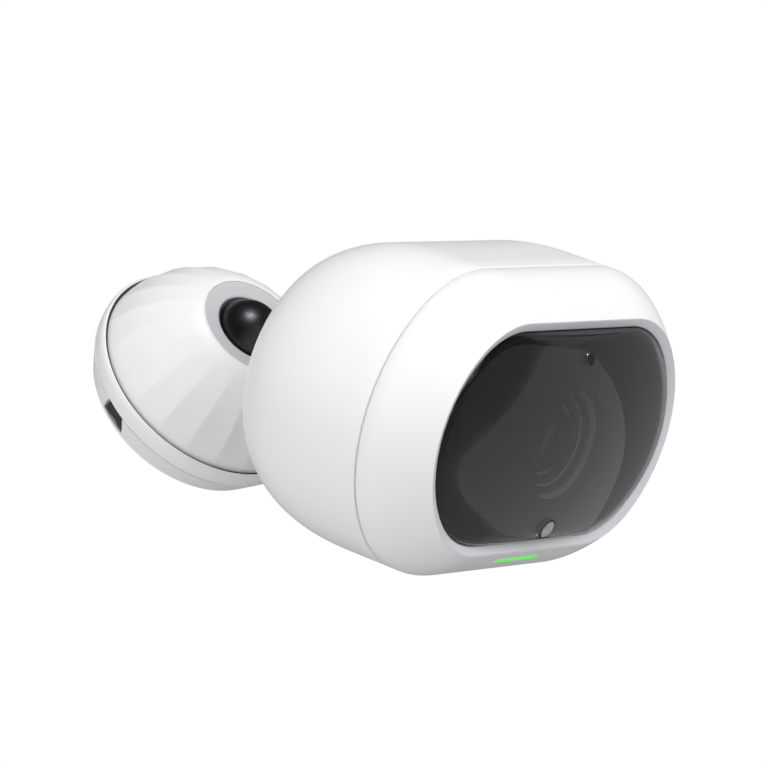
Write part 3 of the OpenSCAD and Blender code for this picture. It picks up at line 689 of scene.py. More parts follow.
class Wardrobe:
    """Makes each finish once for each set of axes, and dresses pieces and carried nodes with it."""

    def __init__(self, head: Axes, base: Axes) -> None:
        """Keep the two sets of axes that patterns follow."""
        self.effects = Effects()
        self.axes = {"head": head, "base": base}
        self.made: dict[tuple[Slot, str], Material] = {}
        self.replaced: set[str] = set()

    def material(self, slot: Slot, place: str) -> Material:
        """Return the material of a slot on "head" or "base" axes."""
        key = (slot, place)
        if key not in self.made:
            self.made[key] = FINISHES[slot].build(self.effects, self.axes[place])
            self.made[key].name = f"{slot.value}_{place}"
        return self.made[key]

    def dress(self, piece: Piece, slot: Slot, body: Body, replaces: Sequence[str] = ()) -> None:
        """Finish a new piece, join it to its body and say which CAD nodes it stands for.

        Args:
            piece: The piece, whose mesh is final.
            slot: The material slot it takes its finish from.
            body: The body it rides on.
            replaces: Names of the CAD nodes that it stands for.
        """
        place = "base" if body is Body.CLAMP else "head"
        piece.data.materials.clear()
        piece.data.materials.append(self.material(slot, place))
        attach(piece, body.value)
        if replaces:
            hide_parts(*replaces)
            self.replaced.update(replaces)
        LOG.info("%s: %d faces on %s", piece.name, len(piece.data.polygons), body.value)

    def carry(self) -> None:
        """Give every CAD node that stays visible the finish of its record slot."""
        bodies = frame["record"]["behaviour"]["bodies"]
        on_head = {node for name in ("head", "button", "flap", "ball") for node in bodies[name]}
        for part in frame["record"]["subparts"]:
            node = part["node"]
            if node in self.replaced:
                continue
            place = "head" if node in on_head else "base"
            material = self.material(Slot(part["material_slot"]), place)
            for holder in frame["nodes"][node].material_slots:
                holder.material = material
            LOG.info("%s: carried, %s", node, material.name)


# ---------------------------------------------------------------- arrays


def polar_array_tree() -> NodeTree:
    """Build the Geometry Nodes tree that repeats a shape round an axis."""
    tree = bpy.data.node_groups.new("polar_array", "GeometryNodeTree")
    for name, kind in (
        ("Geometry", "NodeSocketGeometry"),
        ("Count", "NodeSocketInt"),
        ("Centre", "NodeSocketVector"),
        ("Axis", "NodeSocketVector"),
        ("Seam", "NodeSocketFloat"),
        ("Material", "NodeSocketMaterial"),
    ):
        tree.interface.new_socket(name, in_out="INPUT", socket_type=kind)
    tree.interface.new_socket("Geometry", in_out="OUTPUT", socket_type="NodeSocketGeometry")
    nodes = Tree(tree)
    start, end = nodes.add("NodeGroupInput"), nodes.add("NodeGroupOutput")
    points = nodes.add("GeometryNodeMeshLine", mode="OFFSET")
    points.inputs["Offset"].default_value = (0, 0, 0)
    nodes.join(start.outputs["Count"], points.inputs["Count"])
    nodes.join(start.outputs["Centre"], points.inputs["Start Location"])
    away = nodes.add("ShaderNodeVectorMath", operation="SCALE")
    away.inputs["Scale"].default_value = -1.0
    nodes.join(start.outputs["Centre"], away.inputs[0])
    centred = nodes.add("GeometryNodeTransform")
    nodes.join(start.outputs["Geometry"], centred.inputs["Geometry"])
    nodes.join(away.outputs[0], centred.inputs["Translation"])
    step = nodes.per(2 * math.pi, start.outputs["Count"])
    angle = nodes.math("MULTIPLY", nodes.add("GeometryNodeInputIndex").outputs[0], step)
    turn = nodes.add("FunctionNodeAxisAngleToRotation")
    nodes.join(start.outputs["Axis"], turn.inputs["Axis"])
    nodes.join(angle, turn.inputs["Angle"])
    copies = nodes.add("GeometryNodeInstanceOnPoints")
    nodes.join(points.outputs["Mesh"], copies.inputs["Points"])
    nodes.join(centred.outputs["Geometry"], copies.inputs["Instance"])
    nodes.join(turn.outputs["Rotation"], copies.inputs["Rotation"])
    real = nodes.add("GeometryNodeRealizeInstances")
    nodes.join(copies.outputs["Instances"], real.inputs["Geometry"])
    merge = nodes.add("GeometryNodeMergeByDistance")
    nodes.join(real.outputs["Geometry"], merge.inputs["Geometry"])
    nodes.join(start.outputs["Seam"], merge.inputs["Distance"])
    paint = nodes.add("GeometryNodeSetMaterial")
    nodes.join(merge.outputs["Geometry"], paint.inputs["Geometry"])
    nodes.join(start.outputs["Material"], paint.inputs["Material"])
    nodes.join(paint.outputs["Geometry"], end.inputs["Geometry"])
    return tree


@dataclass(frozen=True)
class PolarArray:
    """Repeats a shape round an axis with Geometry Nodes."""

    tree: NodeTree
    seam: float = 0.002

    def apply(
        self, piece: Piece, count: int, centre: Vector, axis: Vector, material: Material
    ) -> Piece:
        """Repeat a piece and keep the result as plain mesh.

        Args:
            piece: The shape to repeat.
            count: How many there are in a full turn.
            centre: A point on the axis, in the row frame.
            axis: The axis's direction in the row frame.
            material: The material that the tree sets.

        Returns:
            The same object, now holding every copy.
        """
        modifier = piece.modifiers.new("polar_array", "NODES")
        modifier.node_group = self.tree
        values = {
            "Count": count,
            "Centre": tuple(centre),
            "Axis": tuple(axis),
            "Seam": self.seam * MM,
            "Material": material,
        }
        for item in self.tree.interface.items_tree:
            if item.in_out == "INPUT" and item.name in values:
                modifier[item.identifier] = values[item.name]
        bpy.context.view_layer.update()
        return evaluate(piece)


# ---------------------------------------------------------------- head shells


@dataclass(frozen=True)
class Outline:
    """The head's outline: two bulging sides, four corners and flat top and bottom."""

    half_w: float
    half_h: float
    side_r: float = 31.0
    corner_r: float = 28.0
    side_steps: int = 7
    corner_steps: int = 16
    flat_steps: int = 6

    def quarter(self, inset: float) -> list[tuple[float, float]]:
        """Return the first quarter's points, from the side's middle to the top's middle."""
        side_x = self.half_w - self.side_r
        corner_z = self.half_h - self.corner_r
        corner_x = side_x + math.sqrt((self.side_r - self.corner_r) ** 2 - corner_z**2)
        meet = math.atan2(corner_z, corner_x - side_x)
        points = []
        for i in range(self.side_steps):
            a = meet * i / self.side_steps
            points.append((side_x + (self.side_r - inset) * math.cos(a), (self.side_r - inset) * math.sin(a)))
        r = self.corner_r - inset
        for i in range(self.corner_steps + 1):
            a = meet + (math.pi / 2 - meet) * i / self.corner_steps
            points.append((corner_x + r * math.cos(a), corner_z + r * math.sin(a)))
        for i in range(1, self.flat_steps + 1):
            points.append((corner_x * (1 - i / self.flat_steps), self.half_h - inset))
        return points

    def points(self, inset: float) -> list[tuple[float, float]]:
        """Return the whole outline, shrunk by an inset."""
        q = self.quarter(inset)
        left = [(-x, z) for x, z in reversed(q[:-1])]
        below = [(-x, -z) for x, z in q[1:]]
        right = [(x, -z) for x, z in reversed(q[1:-1])]
        return q + left + below + right

    def ring(self, y: float, inset: float, dz: float = 0.0) -> Ring:
        """Return the outline as a ring at depth y, lowered or raised by dz."""
        return [Vector((x, y, z + dz)) for x, z in self.points(inset)]


@dataclass(frozen=True)
class Opening:
    """A control's box in the head's axes."""

    low: Vector
    high: Vector

    @property
    def middle(self) -> Vector:
        """Return the box's centre."""
        return (self.low + self.high) / 2

    @property
    def size(self) -> Vector:
        """Return the box's three sides."""
        return self.high - self.low


@dataclass
class RearShell:
    """The rear shell: a straight band behind the seam that rounds to a small flat rear face."""

    axes: Axes
    outline: Outline
    seam_y: float
    rear_y: float
    wall: float = 2.2
    straight: float = 9.1
    taper_inset: float = 21.3
    taper_power: float = 2.3
    rear_drop: float = 0.4
    seam_gap: float = 0.2
    edge_soft: float = 0.3
    taper_steps: int = 30
    boss_r: float = 6.8
    hole_r: float = 0.75
    hole_ring: float = 3.0
    part_gap: float = 0.3
    knuckle_r: float = 1.0
    knuckle_rise: float = 0.15
    floor_t: float = 1.2
    pad_wall: float = 1.6
    pad_h: float = 2.8
    block_side: float = 2.0
    block_end: float = 2.2
    block_h: float = 4.4
    recess_h: float = 1.7
    pin_r: float = 0.5
    pin_reach: float = 1.6
    socket_h: float = 7.6

    def taper(self, inset: float, length: float) -> list[Ring]:
        """Return the rounding's rings, from the straight band to the rear face."""
        rings = []
        for i in range(self.taper_steps + 1):
            a = math.pi / 2 * i / self.taper_steps
            t = math.sin(a) ** (2 / self.taper_power)
            shrink = 1 - math.cos(a) ** (2 / self.taper_power) if i < self.taper_steps else 1.0
            y = self.seam_y + self.straight + t * length
            rings.append(self.outline.ring(y, inset + self.taper_inset * shrink, -self.rear_drop * t))
        return rings

    def skin(self) -> Piece:
        """Make the plain hollow shell."""
        front = self.seam_y + self.seam_gap / 2
        length = self.rear_y - self.seam_y - self.straight
        lip = [
            self.outline.ring(front, self.wall),
            self.outline.ring(front, self.edge_soft),
            self.outline.ring(front + 0.3 * self.edge_soft, 0.3 * self.edge_soft),
            self.outline.ring(front + self.edge_soft, 0.0),
            self.outline.ring(front + self.straight / 2, 0.0),
        ]
        inside = list(reversed(self.taper(self.wall, length - self.wall)))
        return solid("rear_shell_skin", loft(inside + lip + self.taper(0.0, length)), self.axes)

    def wells(self, flap: Opening, button: Opening, insert: Opening) -> list[Piece]:
        """Make the solid stock inside the shell for the port, the button and the threaded insert."""
        bottom = -self.outline.half_h + self.floor_t
        side, end, tall = self.block_side, self.block_end, self.block_h
        boss = drum(self.boss_r, insert.size.y - 1)
        pad = drum(button.size.x / 2 + self.pad_wall, self.pad_h)
        long, wide = flap.size.x + 2 * side, flap.size.y + 2 * end
        block = bar(flap.low.x - side, flap.low.y - end, bottom, long, wide, tall)
        return [
            solid("boss", boss, self.axes, lengthways(insert.middle.x, insert.low.y, insert.middle.z)),
            solid("pad", pad, self.axes, upright(button.middle.x, button.middle.y, bottom)),
            solid("block", block, self.axes),
        ]

    def cuts(self, flap: Opening, button: Opening, insert: Opening, usb: Opening) -> list[Piece]:
        """Make the solids that open the shell for the insert, button, flap, hinge pin and charging socket."""
        bottom = -self.outline.half_h
        gap = self.part_gap
        pin_y = flap.high.y - self.knuckle_r
        pin_z = bottom + self.knuckle_r + self.knuckle_rise
        long, wide = flap.size.x + 2 * gap, flap.size.y + 2 * gap
        recess = bar(flap.low.x - gap, flap.low.y - gap, bottom - CUT, long, wide, self.recess_h + CUT)
        channel = drum(self.knuckle_r + gap, long, 32)
        pin = drum(self.pin_r, flap.size.x + 2 * self.pin_reach, 24)
        button_hole = drum(button.size.x / 2 + gap, 8)
        bore = drum(insert.size.x / 2, insert.size.y + 2 * CUT)
        over_button = upright(button.middle.x, button.middle.y, bottom - CUT)
        slot_bar = bar(usb.low.x, usb.low.y, bottom - CUT, usb.size.x, usb.size.y, self.socket_h + CUT)
        return [
            solid("recess", recess, self.axes),
            solid("channel", channel, self.axes, sideways(flap.low.x - gap, pin_y, pin_z)),
            solid("pin", pin, self.axes, sideways(flap.low.x - self.pin_reach, pin_y, pin_z)),
            solid("button_hole", button_hole, self.axes, over_button),
            solid("bore", bore, self.axes, lengthways(insert.middle.x, insert.low.y - CUT, insert.middle.z)),
            solid("slot_bar", slot_bar, self.axes),
        ]

    def grille(self, array: PolarArray, material: Material, speaker: Opening) -> list[Piece]:
        """Make the speaker's hole cutters: one in the middle and six round it."""
        x, z = speaker.middle.x, speaker.middle.z
        length = self.wall + 3
        front = self.rear_y - self.wall - 2
        places = lengthways(x, front, z), lengthways(x + self.hole_ring, front, z)
        centre = solid("hole", drum(self.hole_r, length, 24), self.axes, places[0])
        edge = solid("holes", drum(self.hole_r, length, 24), self.axes, places[1])
        array.apply(edge, 6, self.axes.point((x, front, z)), self.axes.direction((0, 1, 0)), material)
        return [centre, edge]

    def build(self, wardrobe: Wardrobe, array: PolarArray) -> None:
        """Make the shell with its openings, and dress it.

        Args:
            wardrobe: Where its finish comes from.
            array: The tool that repeats the speaker's holes.
        """
        insert, flap = Opening(*self.axes.box("threaded_insert")), Opening(*self.axes.box("port_flap"))
        button, usb = Opening(*self.axes.box("power_button")), Opening(*self.axes.box("usb_socket"))
        speaker = Opening(*self.axes.box("speaker"))
        material = wardrobe.material(Slot.SHELL_WHITE, "head")
        shell = combine(self.skin(), self.wells(flap, button, insert), "UNION")
        cutters = self.cuts(flap, button, insert, usb) + self.grille(array, material, speaker)
        shell = shade(combine(shell, cutters, "DIFFERENCE"))
        wardrobe.dress(shell, Slot.SHELL_WHITE, Body.HEAD, ["rear_shell"])


@dataclass
class FrontBezel:
    """The front shell: a soft lip at the seam, a round sweep to the window's rim, and the light's slot."""

    axes: Axes
    outline: Outline
    seam_y: float
    rim_inset: float = 7.1
    rim_y: float = 0.7
    window_inset: float = 8.95
    wall: float = 2.2
    seam_gap: float = 0.2
    lip: float = 2.2
    round_power: float = 1.6
    flange_y: float = 3.0
    flange_t: float = 2.0
    sweep_steps: int = 22
    boss: tuple[float, float] = (30.0, 16.6)
    boss_r: float = 2.4
    screw_r: float = 0.95
    boss_y: float = 10.55
    bend_y: float = 7.5
    light_w: float = 14.4
    light_h: float = 1.5
    light_y: float = 1.85
    light_tip: float = math.radians(48.0)
    light_depth: float = 1.4

    def sweep(self, y: float) -> float:
        """Return the outer face's inset at depth y."""
        lip_y = self.seam_y - self.lip
        if y > lip_y:
            return 0.0
        return self.rim_inset * ((lip_y - y) / (lip_y + self.rim_y)) ** self.round_power

    def depths(self) -> list[float]:
        """Return the sweep's depths, from the lip to the rim, closer together towards the rim."""
        lip_y = self.seam_y - self.lip
        length = lip_y + self.rim_y
        return [lip_y - length * (i / self.sweep_steps) ** 0.8 for i in range(self.sweep_steps + 1)]

    def light_place(self) -> Matrix:
        """Return the light bar's place: its own X across, Y up the slope and Z into the bezel."""
        z = -self.outline.half_h + self.sweep(self.light_y)
        return Matrix.Translation((0, self.light_y, z)) @ Matrix.Rotation(self.light_tip - math.pi / 2, 4, "X")

    def light_outline(self, grow: float, steps: int = 16) -> list[tuple[float, float]]:
        """Return the light bar's rounded outline, grown all round."""
        r = self.light_h / 2 + grow
        reach = (self.light_w - self.light_h) / 2
        ends = []
        for side in (1, -1):
            for i in range(steps + 1):
                a = math.pi * (i / steps - 0.5)
                ends.append((side * (reach + r * math.cos(a)), side * r * math.sin(a)))
        return ends

    def shell(self) -> Piece:
        """Make the bezel with its screw bosses and the light's slot."""
        out, inset = self.outline, self.rim_inset + 0.05
        back = self.seam_y - self.seam_gap / 2
        flange_k = self.window_inset + 2.5
        behind = self.flange_y + self.flange_t
        outer = [out.ring(back, 0.45), out.ring(back - 0.1, 0.24), out.ring(back - 0.35, 0.1)]
        outer += [out.ring(back - 0.8, 0.0)] + [out.ring(y, self.sweep(y)) for y in self.depths()]
        inner = [(-self.rim_y, inset), (self.flange_y, inset), (self.flange_y, flange_k), (behind, flange_k)]
        inner += [(y, self.sweep(y) + self.wall) for y in (behind, self.bend_y)]
        inner += [(self.seam_y - self.lip, self.wall), (back, self.wall)]
        inner = [out.ring(y, k) for y, k in inner]
        shell = solid("front_bezel_skin", loft(outer + inner, looped=True), self.axes)
        x, z = self.boss
        bosses, cuts = [], []
        boss_front = self.flange_y + 1
        for sx in (-1, 1):
            for sz in (-1, 1):
                place = lengthways(sx * x, boss_front, sz * z)
                bosses.append(solid("boss", drum(self.boss_r, self.boss_y - boss_front), self.axes, place))
                place = lengthways(sx * x, behind + 0.5, sz * z)
                cuts.append(solid("screw", drum(self.screw_r, self.boss_y - behind, 24), self.axes, place))
        combine(shell, bosses, "UNION")
        slot_outline = self.light_outline(0.05)
        rings = [[Vector((u, v, w)) for u, v in slot_outline] for w in (-0.9, self.light_depth + 0.05)]
        cuts.append(solid("slot", loft(rings), self.axes, self.light_place()))
        return shade(combine(shell, cuts, "DIFFERENCE"))

    def light(self) -> Piece:
        """Make the status light: a rounded bar whose face follows the bezel, just proud of it."""
        place = self.light_place()
        rings = []
        for shrink, proud in ((0.0, -self.light_depth), (0.0, -0.05), (0.05, 0.03), (0.15, 0.06), (0.5, 0.07)):
            ring = []
            for u, v in self.light_outline(-shrink):
                p = place @ Vector((u, v, 0))
                face = -self.outline.half_h + self.sweep(p.y)
                level = (p.z - face) * math.cos(math.pi / 2 - self.light_tip) if proud > -1 else 0.0
                ring.append(place @ Vector((u, v, -proud - level)))
            rings.append(ring)
        return shade(solid("status_light_bar", loft(rings), self.axes))

    def build(self, wardrobe: Wardrobe) -> None:
        """Make the bezel and its status light, and dress them."""
        wardrobe.dress(self.shell(), Slot.SHELL_WHITE, Body.HEAD, ["front_bezel"])
        wardrobe.dress(self.light(), Slot.LIGHT_GREEN, Body.HEAD, ["status_light"])


# ---------------------------------------------------------------- window and lens


@dataclass
class Window:
    """The crowned dark window, its grey rim, the black mask behind it and the lens's printed rings."""

    axes: Axes
    outline: Outline
    inset: float = 8.95
    gap: float = 0.08
    draft: float = 0.2
    crown: float = 6.2
    crown_side: float = 0.79
    crown_top: float = 0.61
    edge_y: float = 0.3
    edge_power: float = 40.0
    thickness: float = 1.8
    mask_gap: float = 0.06
    mask_t: float = 0.5
    mask_reach: float = 0.95
    rim_y: float = 0.7
    rim_inset: float = 7.17
    rim_back: float = 2.98
    rings: int = 30
    lens_z: float = -1.2
    well_r: float = 11.4
    ring_radii: tuple[float, float] = (11.7, 13.3)
    ring_half: float = 0.1
    mic_z: float = 16.4
    mic_r: float = 0.8
    sensor_z: float = -17.9
    sensor_r: float = 1.85
    sensor_sides: int = 10
    sleeve_wall: float = 0.3
    seat_depth: float = 0.01

    def surface(self, x: float, z: float) -> float:
        """Return the crown's depth over (x, z), without its rolled edge."""
        half_w, half_h = self.outline.half_w - self.inset, self.outline.half_h - self.inset
        return -self.crown * (1 - self.crown_side * (x / half_w) ** 2 - self.crown_top * (z / half_h) ** 2)

    def ring(self, share: float, back: float) -> Ring:
        """Return one ring of the crowned face.

        Args:
            share: The ring's size as a share of the window's edge.
            back: How far behind the front face it lies.

        Returns:
            The ring's points.
        """
        points = []
        for x, z in self.outline.points(self.inset + self.gap + self.draft * back):
            x, z = x * share, z * share
            y = self.surface(x, z)
            points.append(Vector((x, y + (self.edge_y - y) * share**self.edge_power + back, z)))
        return points

    def shares(self, last: float) -> list[float]:
        """Return the rings' sizes, closer together towards the rolled edge."""
        return [last * math.sin(math.pi / 2 * (i + 1) / self.rings) ** 0.8 for i in range(self.rings)]

    def hole(self, z: float, r: float) -> Piece:
        """Make a cutter through the window at a height."""
        return solid("hole", drum(r, self.crown + 6, 48), self.axes, lengthways(0, -self.crown - CUT, z))

    def cover(self) -> Piece:
        """Make the window with its microphone hole and its light sensor's hole."""
        shares = self.shares(1.0)
        skin = loft(
            [self.ring(s, 0.0) for s in shares] + [self.ring(s, self.thickness) for s in reversed(shares)]
        )
        cover = solid("window_glass", skin, self.axes)
        cuts = [self.hole(self.mic_z, self.mic_r), self.hole(self.sensor_z, self.sensor_r + 0.05)]
        return shade(combine(cover, cuts, "DIFFERENCE"))

    def mask(self) -> Piece:
        """Make the black mask that backs the window, open at the lens and the two small holes."""
        front = self.thickness + self.mask_gap
        back = front + self.mask_t
        shares = self.shares(self.mask_reach)
        sheet = [self.ring(s, front) for s in shares] + [self.ring(s, back) for s in reversed(shares)]
        mask = solid("window_mask_sheet", loft(sheet), self.axes)
        cuts = [
            self.hole(self.lens_z, self.well_r),
            self.hole(self.mic_z, self.mic_r + 0.05),
            self.hole(self.sensor_z, self.sensor_r + 0.1),
        ]
        return shade(combine(mask, cuts, "DIFFERENCE"))

    def rim(self) -> Piece:
        """Make the grey chamfered rim."""
        out, soft = self.outline, 0.12
        section = [
            (-self.rim_y + soft, self.rim_inset),
            (-self.rim_y, self.rim_inset + soft),
            (-self.rim_y + 0.05, self.rim_inset + 2 * soft),
            (-0.12, self.inset - 0.25),
            (0.0, self.inset - 0.06),
            (0.14, self.inset),
            (self.rim_back, self.inset),
            (self.rim_back, self.rim_inset),
        ]
        return shade(solid("window_rim", loft([out.ring(y, k) for y, k in section], looped=True), self.axes))

    def lens_rings(self) -> Piece:
        """Make the two thin dark rings that lie on the window's rear face round the lens."""
        mesh = bmesh.new()
        steps = 128
        for radius in self.ring_radii:
            section = []
            for dr, dy in ((-1, 0.03), (1, 0.03), (1, -0.02), (-1, -0.02)):
                r = radius + dr * self.ring_half
                ring = []
                for i in range(steps):
                    a = 2 * math.pi * i / steps
                    x, z = r * math.cos(a), self.lens_z + r * math.sin(a)
                    ring.append(Vector((x, self.surface(x, z) + self.thickness + 0.03 + dy, z)))
                section.append(ring)
            part = loft(section, looped=True)
            data = bpy.data.meshes.new("part")
            part.to_mesh(data)
            part.free()
            mesh.from_mesh(data)
            bpy.data.meshes.remove(data)
        return shade(solid("lens_rings", mesh, self.axes))

    def lean(self, z: float) -> float:
        """Return how far the face leans at a height on the middle line."""
        return -math.atan(2 * self.crown * self.crown_top * z / (self.outline.half_h - self.inset) ** 2)

    def seat(self, z: float) -> Matrix:
        """Place a turned piece on the face at a height, square to it and pointing back through the glass."""
        place = Matrix.Translation((0, self.surface(0, z) - self.seat_depth, z))
        return place @ Matrix.Rotation(self.lean(z) - math.pi / 2, 4, "X")

    def mic_mesh(self) -> Piece:
        """Make the dark dust mesh that closes the microphone's hole just under the face."""
        return shade(solid("mic_mesh", drum(self.mic_r + 0.22, 0.15, 32), self.axes, self.seat(self.mic_z)))

    def sleeve(self, name: str, z: float, r: float) -> Piece:
        """Make the black sleeve that keeps stray light in the glass away from a small hole.

        Args:
            name: The piece's name.
            z: The hole's height.
            r: The hole's radius.

        Returns:
            The sleeve.
        """
        inner, outer = r - 0.01, r + self.sleeve_wall
        wall = [(inner, 0.0), (outer, 0.0), (outer, self.thickness), (inner, self.thickness)]
        return shade(solid(name, revolve(wall, 48), self.axes, self.seat(z)))

    def lens_cone(self) -> Piece:
        """Make the stepped grey cone between the printed rings and the lens barrel."""
        steps = [(11.25, -1.75), (9.6, 0.2), (9.4, 0.15), (8.3, 1.6)]
        steps += [(8.1, 1.55), (6.35, 2.9), (6.35, 3.0), (11.25, -1.65)]
        return shade(solid("lens_cone", revolve(steps, 128), self.axes, lengthways(0, 0, self.lens_z)))

    def sensor_gem(self) -> Piece:
        """Make the clear faceted light guide over the light sensor."""
        sides, r = self.sensor_sides, self.sensor_r
        rings = []
        for size, y, turn in ((1.0, 2.6, 0.0), (1.0, -0.02, 0.0), (0.72, -0.3, 0.5), (0.34, -0.42, 0.0)):
            ring = []
            for i in range(sides):
                a = 2 * math.pi * (i + turn) / sides
                ring.append(Vector((size * r * math.cos(a), y, size * r * math.sin(a))))
            rings.append(ring)
        mesh = loft(rings)
        bmesh.ops.triangulate(mesh, faces=mesh.faces)
        place = Matrix.Translation((0, self.surface(0, self.sensor_z), self.sensor_z))
        place = place @ Matrix.Rotation(self.lean(self.sensor_z), 4, "X")
        return solid("light_sensor_gem", mesh, self.axes, place)

    def build(self, wardrobe: Wardrobe) -> None:
        """Make the window's pieces and dress them."""
        wardrobe.dress(self.cover(), Slot.WINDOW_GLASS, Body.HEAD, ["window_cover"])
        wardrobe.dress(self.mask(), Slot.MASK_BLACK, Body.HEAD, ["window_mask"])
        wardrobe.dress(self.rim(), Slot.TRIM_GREY, Body.HEAD, ["rim_trim"])
        wardrobe.dress(self.lens_rings(), Slot.MASK_BLACK, Body.HEAD)
        wardrobe.dress(self.mic_mesh(), Slot.MASK_BLACK, Body.HEAD)
        for name, z, r in (("mic_sleeve", self.mic_z, self.mic_r), ("sensor_sleeve", self.sensor_z, self.sensor_r)):
            wardrobe.dress(self.sleeve(name, z, r), Slot.MASK_BLACK, Body.HEAD)
        wardrobe.dress(self.lens_cone(), Slot.RUBBER_GREY, Body.HEAD)
        wardrobe.dress(self.sensor_gem(), Slot.CLEAR_PLASTIC, Body.HEAD, ["light_sensor"])


# ---------------------------------------------------------------- base


@dataclass
class Dome:
    """The fluted bell: sharp ridges between shallow flutes that fade at the foot and under the collar."""

    axes: Axes
    flutes: int = 22
    depth: float = 0.42
    turn: float = math.radians(7.2)
    crease: float = math.radians(40)
    foot: float = 9.6
    foot_r: float = 23.75
    collar_r: float = 11.1
    rim_r: float = 11.45
    top: float = 27.0
    wall: float = 1.8
    post_r: float = 10.7
    collet_r: float = 9.55
    pocket_h: float = 25.85
    shelf_h: float = 22.3
    cavity_r: float = 12.6
    post_foot: float = 2.2
    cavity_share: float = 0.78
    bulge: float = 1.75
    shoulder: float = 1 / 1.3
    flute_steps: int = 20
    rise_steps: int = 40
    inner_steps: int = 6
    # The dark ring in the groove under the foot is painted shadow; these are its sizes.
    shadow_ring_low: float = 0.3
    shadow_ring_high: float = 0.25
    shadow_ring_in: float = 0.5
    shadow_ring_out: float = 0.52

    def ridge(self, v: float) -> float:
        """Return the ridges' radius at a share v of the height."""
        return self.rim_r + (self.foot_r - self.rim_r) * (1 - v**self.bulge) ** self.shoulder

    def fade(self, v: float) -> float:
        """Return the flutes' depth at a share v of the height, as a share of the full depth."""
        return (0.4 + 0.6 * (1 - v)) * min(1.0, 3.5 * v) * min(1.0, 5 * (1 - v))

    def section(self, u: float) -> list[tuple[float, float]]:
        """Return the whole wall's (radius, height) section at a place u across a flute."""
        points = []
        rise = self.top - self.foot
        for i in range(self.rise_steps + 1):
            v = math.sin(math.pi / 2 * i / self.rise_steps) if i < self.rise_steps else 1.0
            hollow = self.depth * self.fade(v) * math.sin(math.pi * u)
            points.append((self.ridge(v) - hollow, self.foot + rise * v))
        points += [(self.collar_r, self.top), (self.collar_r, self.pocket_h), (self.collet_r, self.pocket_h)]
        step = self.foot + self.post_foot
        points += [(self.collet_r, self.shelf_h), (self.post_r, self.shelf_h), (self.post_r, step)]
        points += [(self.cavity_r, step), (self.cavity_r, self.foot + self.cavity_share * rise)]
        for i in range(self.inner_steps + 1):
            v = 0.75 * (1 - i / self.inner_steps)
            points.append((self.ridge(v) - self.depth - self.wall, self.foot + rise * v))
        return points

    def groove_shadow_ring(self) -> Piece:
        """Make the dark ring in the groove under the bell's foot, which paints the groove's shadow."""
        low, high = self.foot - self.shadow_ring_low, self.foot + self.shadow_ring_high
        inner, outer = self.foot_r - self.shadow_ring_in, self.foot_r + self.shadow_ring_out
        band = [(inner, low), (outer, low), (outer, high), (inner, high)]
        return shade(solid("groove_shadow_ring", revolve(band, 192), self.axes))

    def build(self, wardrobe: Wardrobe, array: PolarArray) -> None:
        """Make one flute's sector, repeat it round the axis, and dress the bell and the dark ring of painted shadow
        in its foot's groove.

        Args:
            wardrobe: Where its finish comes from.
            array: The tool that repeats the sector.
        """
        mesh = bmesh.new()
        columns = []
        for j in range(self.flute_steps + 1):
            u = j / self.flute_steps
            a = self.turn + 2 * math.pi * u / self.flutes
            column = [mesh.verts.new((r * math.cos(a), r * math.sin(a), h)) for r, h in self.section(u)]
            columns.append(column)
        for first, second in zip(columns, columns[1:]):
            count = len(first)
            for i in range(count):
                k = (i + 1) % count
                mesh.faces.new((first[i], second[i], second[k], first[k]))
        sector = solid("fluted_dome", mesh, self.axes)
        material = wardrobe.material(Slot.BASE_WHITE, "base")
        centre, axis = self.axes.point((0, 0, 0)), self.axes.direction((0, 0, 1))
        dome = shade(array.apply(sector, self.flutes, centre, axis, material), self.crease)
        wardrobe.dress(dome, Slot.BASE_WHITE, Body.CLAMP, ["dome"])
        # The dark ring paints the shadow in the groove under the foot.
        wardrobe.dress(self.groove_shadow_ring(), Slot.DARK_PLASTIC, Body.CLAMP)


# ---------------------------------------------------------------- studio


def area_light(name: str, size: tuple[float, float], watts: float) -> Piece:
    """Make a rectangular light that the camera doesn't see, still to be placed."""
    data = bpy.data.lights.new(name, "AREA")
    data.shape = "RECTANGLE"
    data.size, data.size_y = size
    data.energy = watts
    light = bpy.data.objects.new(name, data)
    bpy.context.scene.collection.objects.link(light)
    light.visible_camera = False
    return light


@dataclass(frozen=True)
class Softbox:
    """A rectangular studio light, placed by its direction from the object."""

    name: str
    direction: tuple[float, float, float]
    distance: float
    size: tuple[float, float]
    watts: float
    mirrored: bool = False

    def build(self, target: Vector) -> None:
        """Make the light, facing the target."""
        light = area_light(self.name, self.size, self.watts)
        direction = Vector(self.direction).normalized()
        light.location = target + direction * self.distance
        light.rotation_mode = "QUATERNION"
        light.rotation_quaternion = direction.to_track_quat("Z", "Y")
        light.visible_glossy = self.mirrored


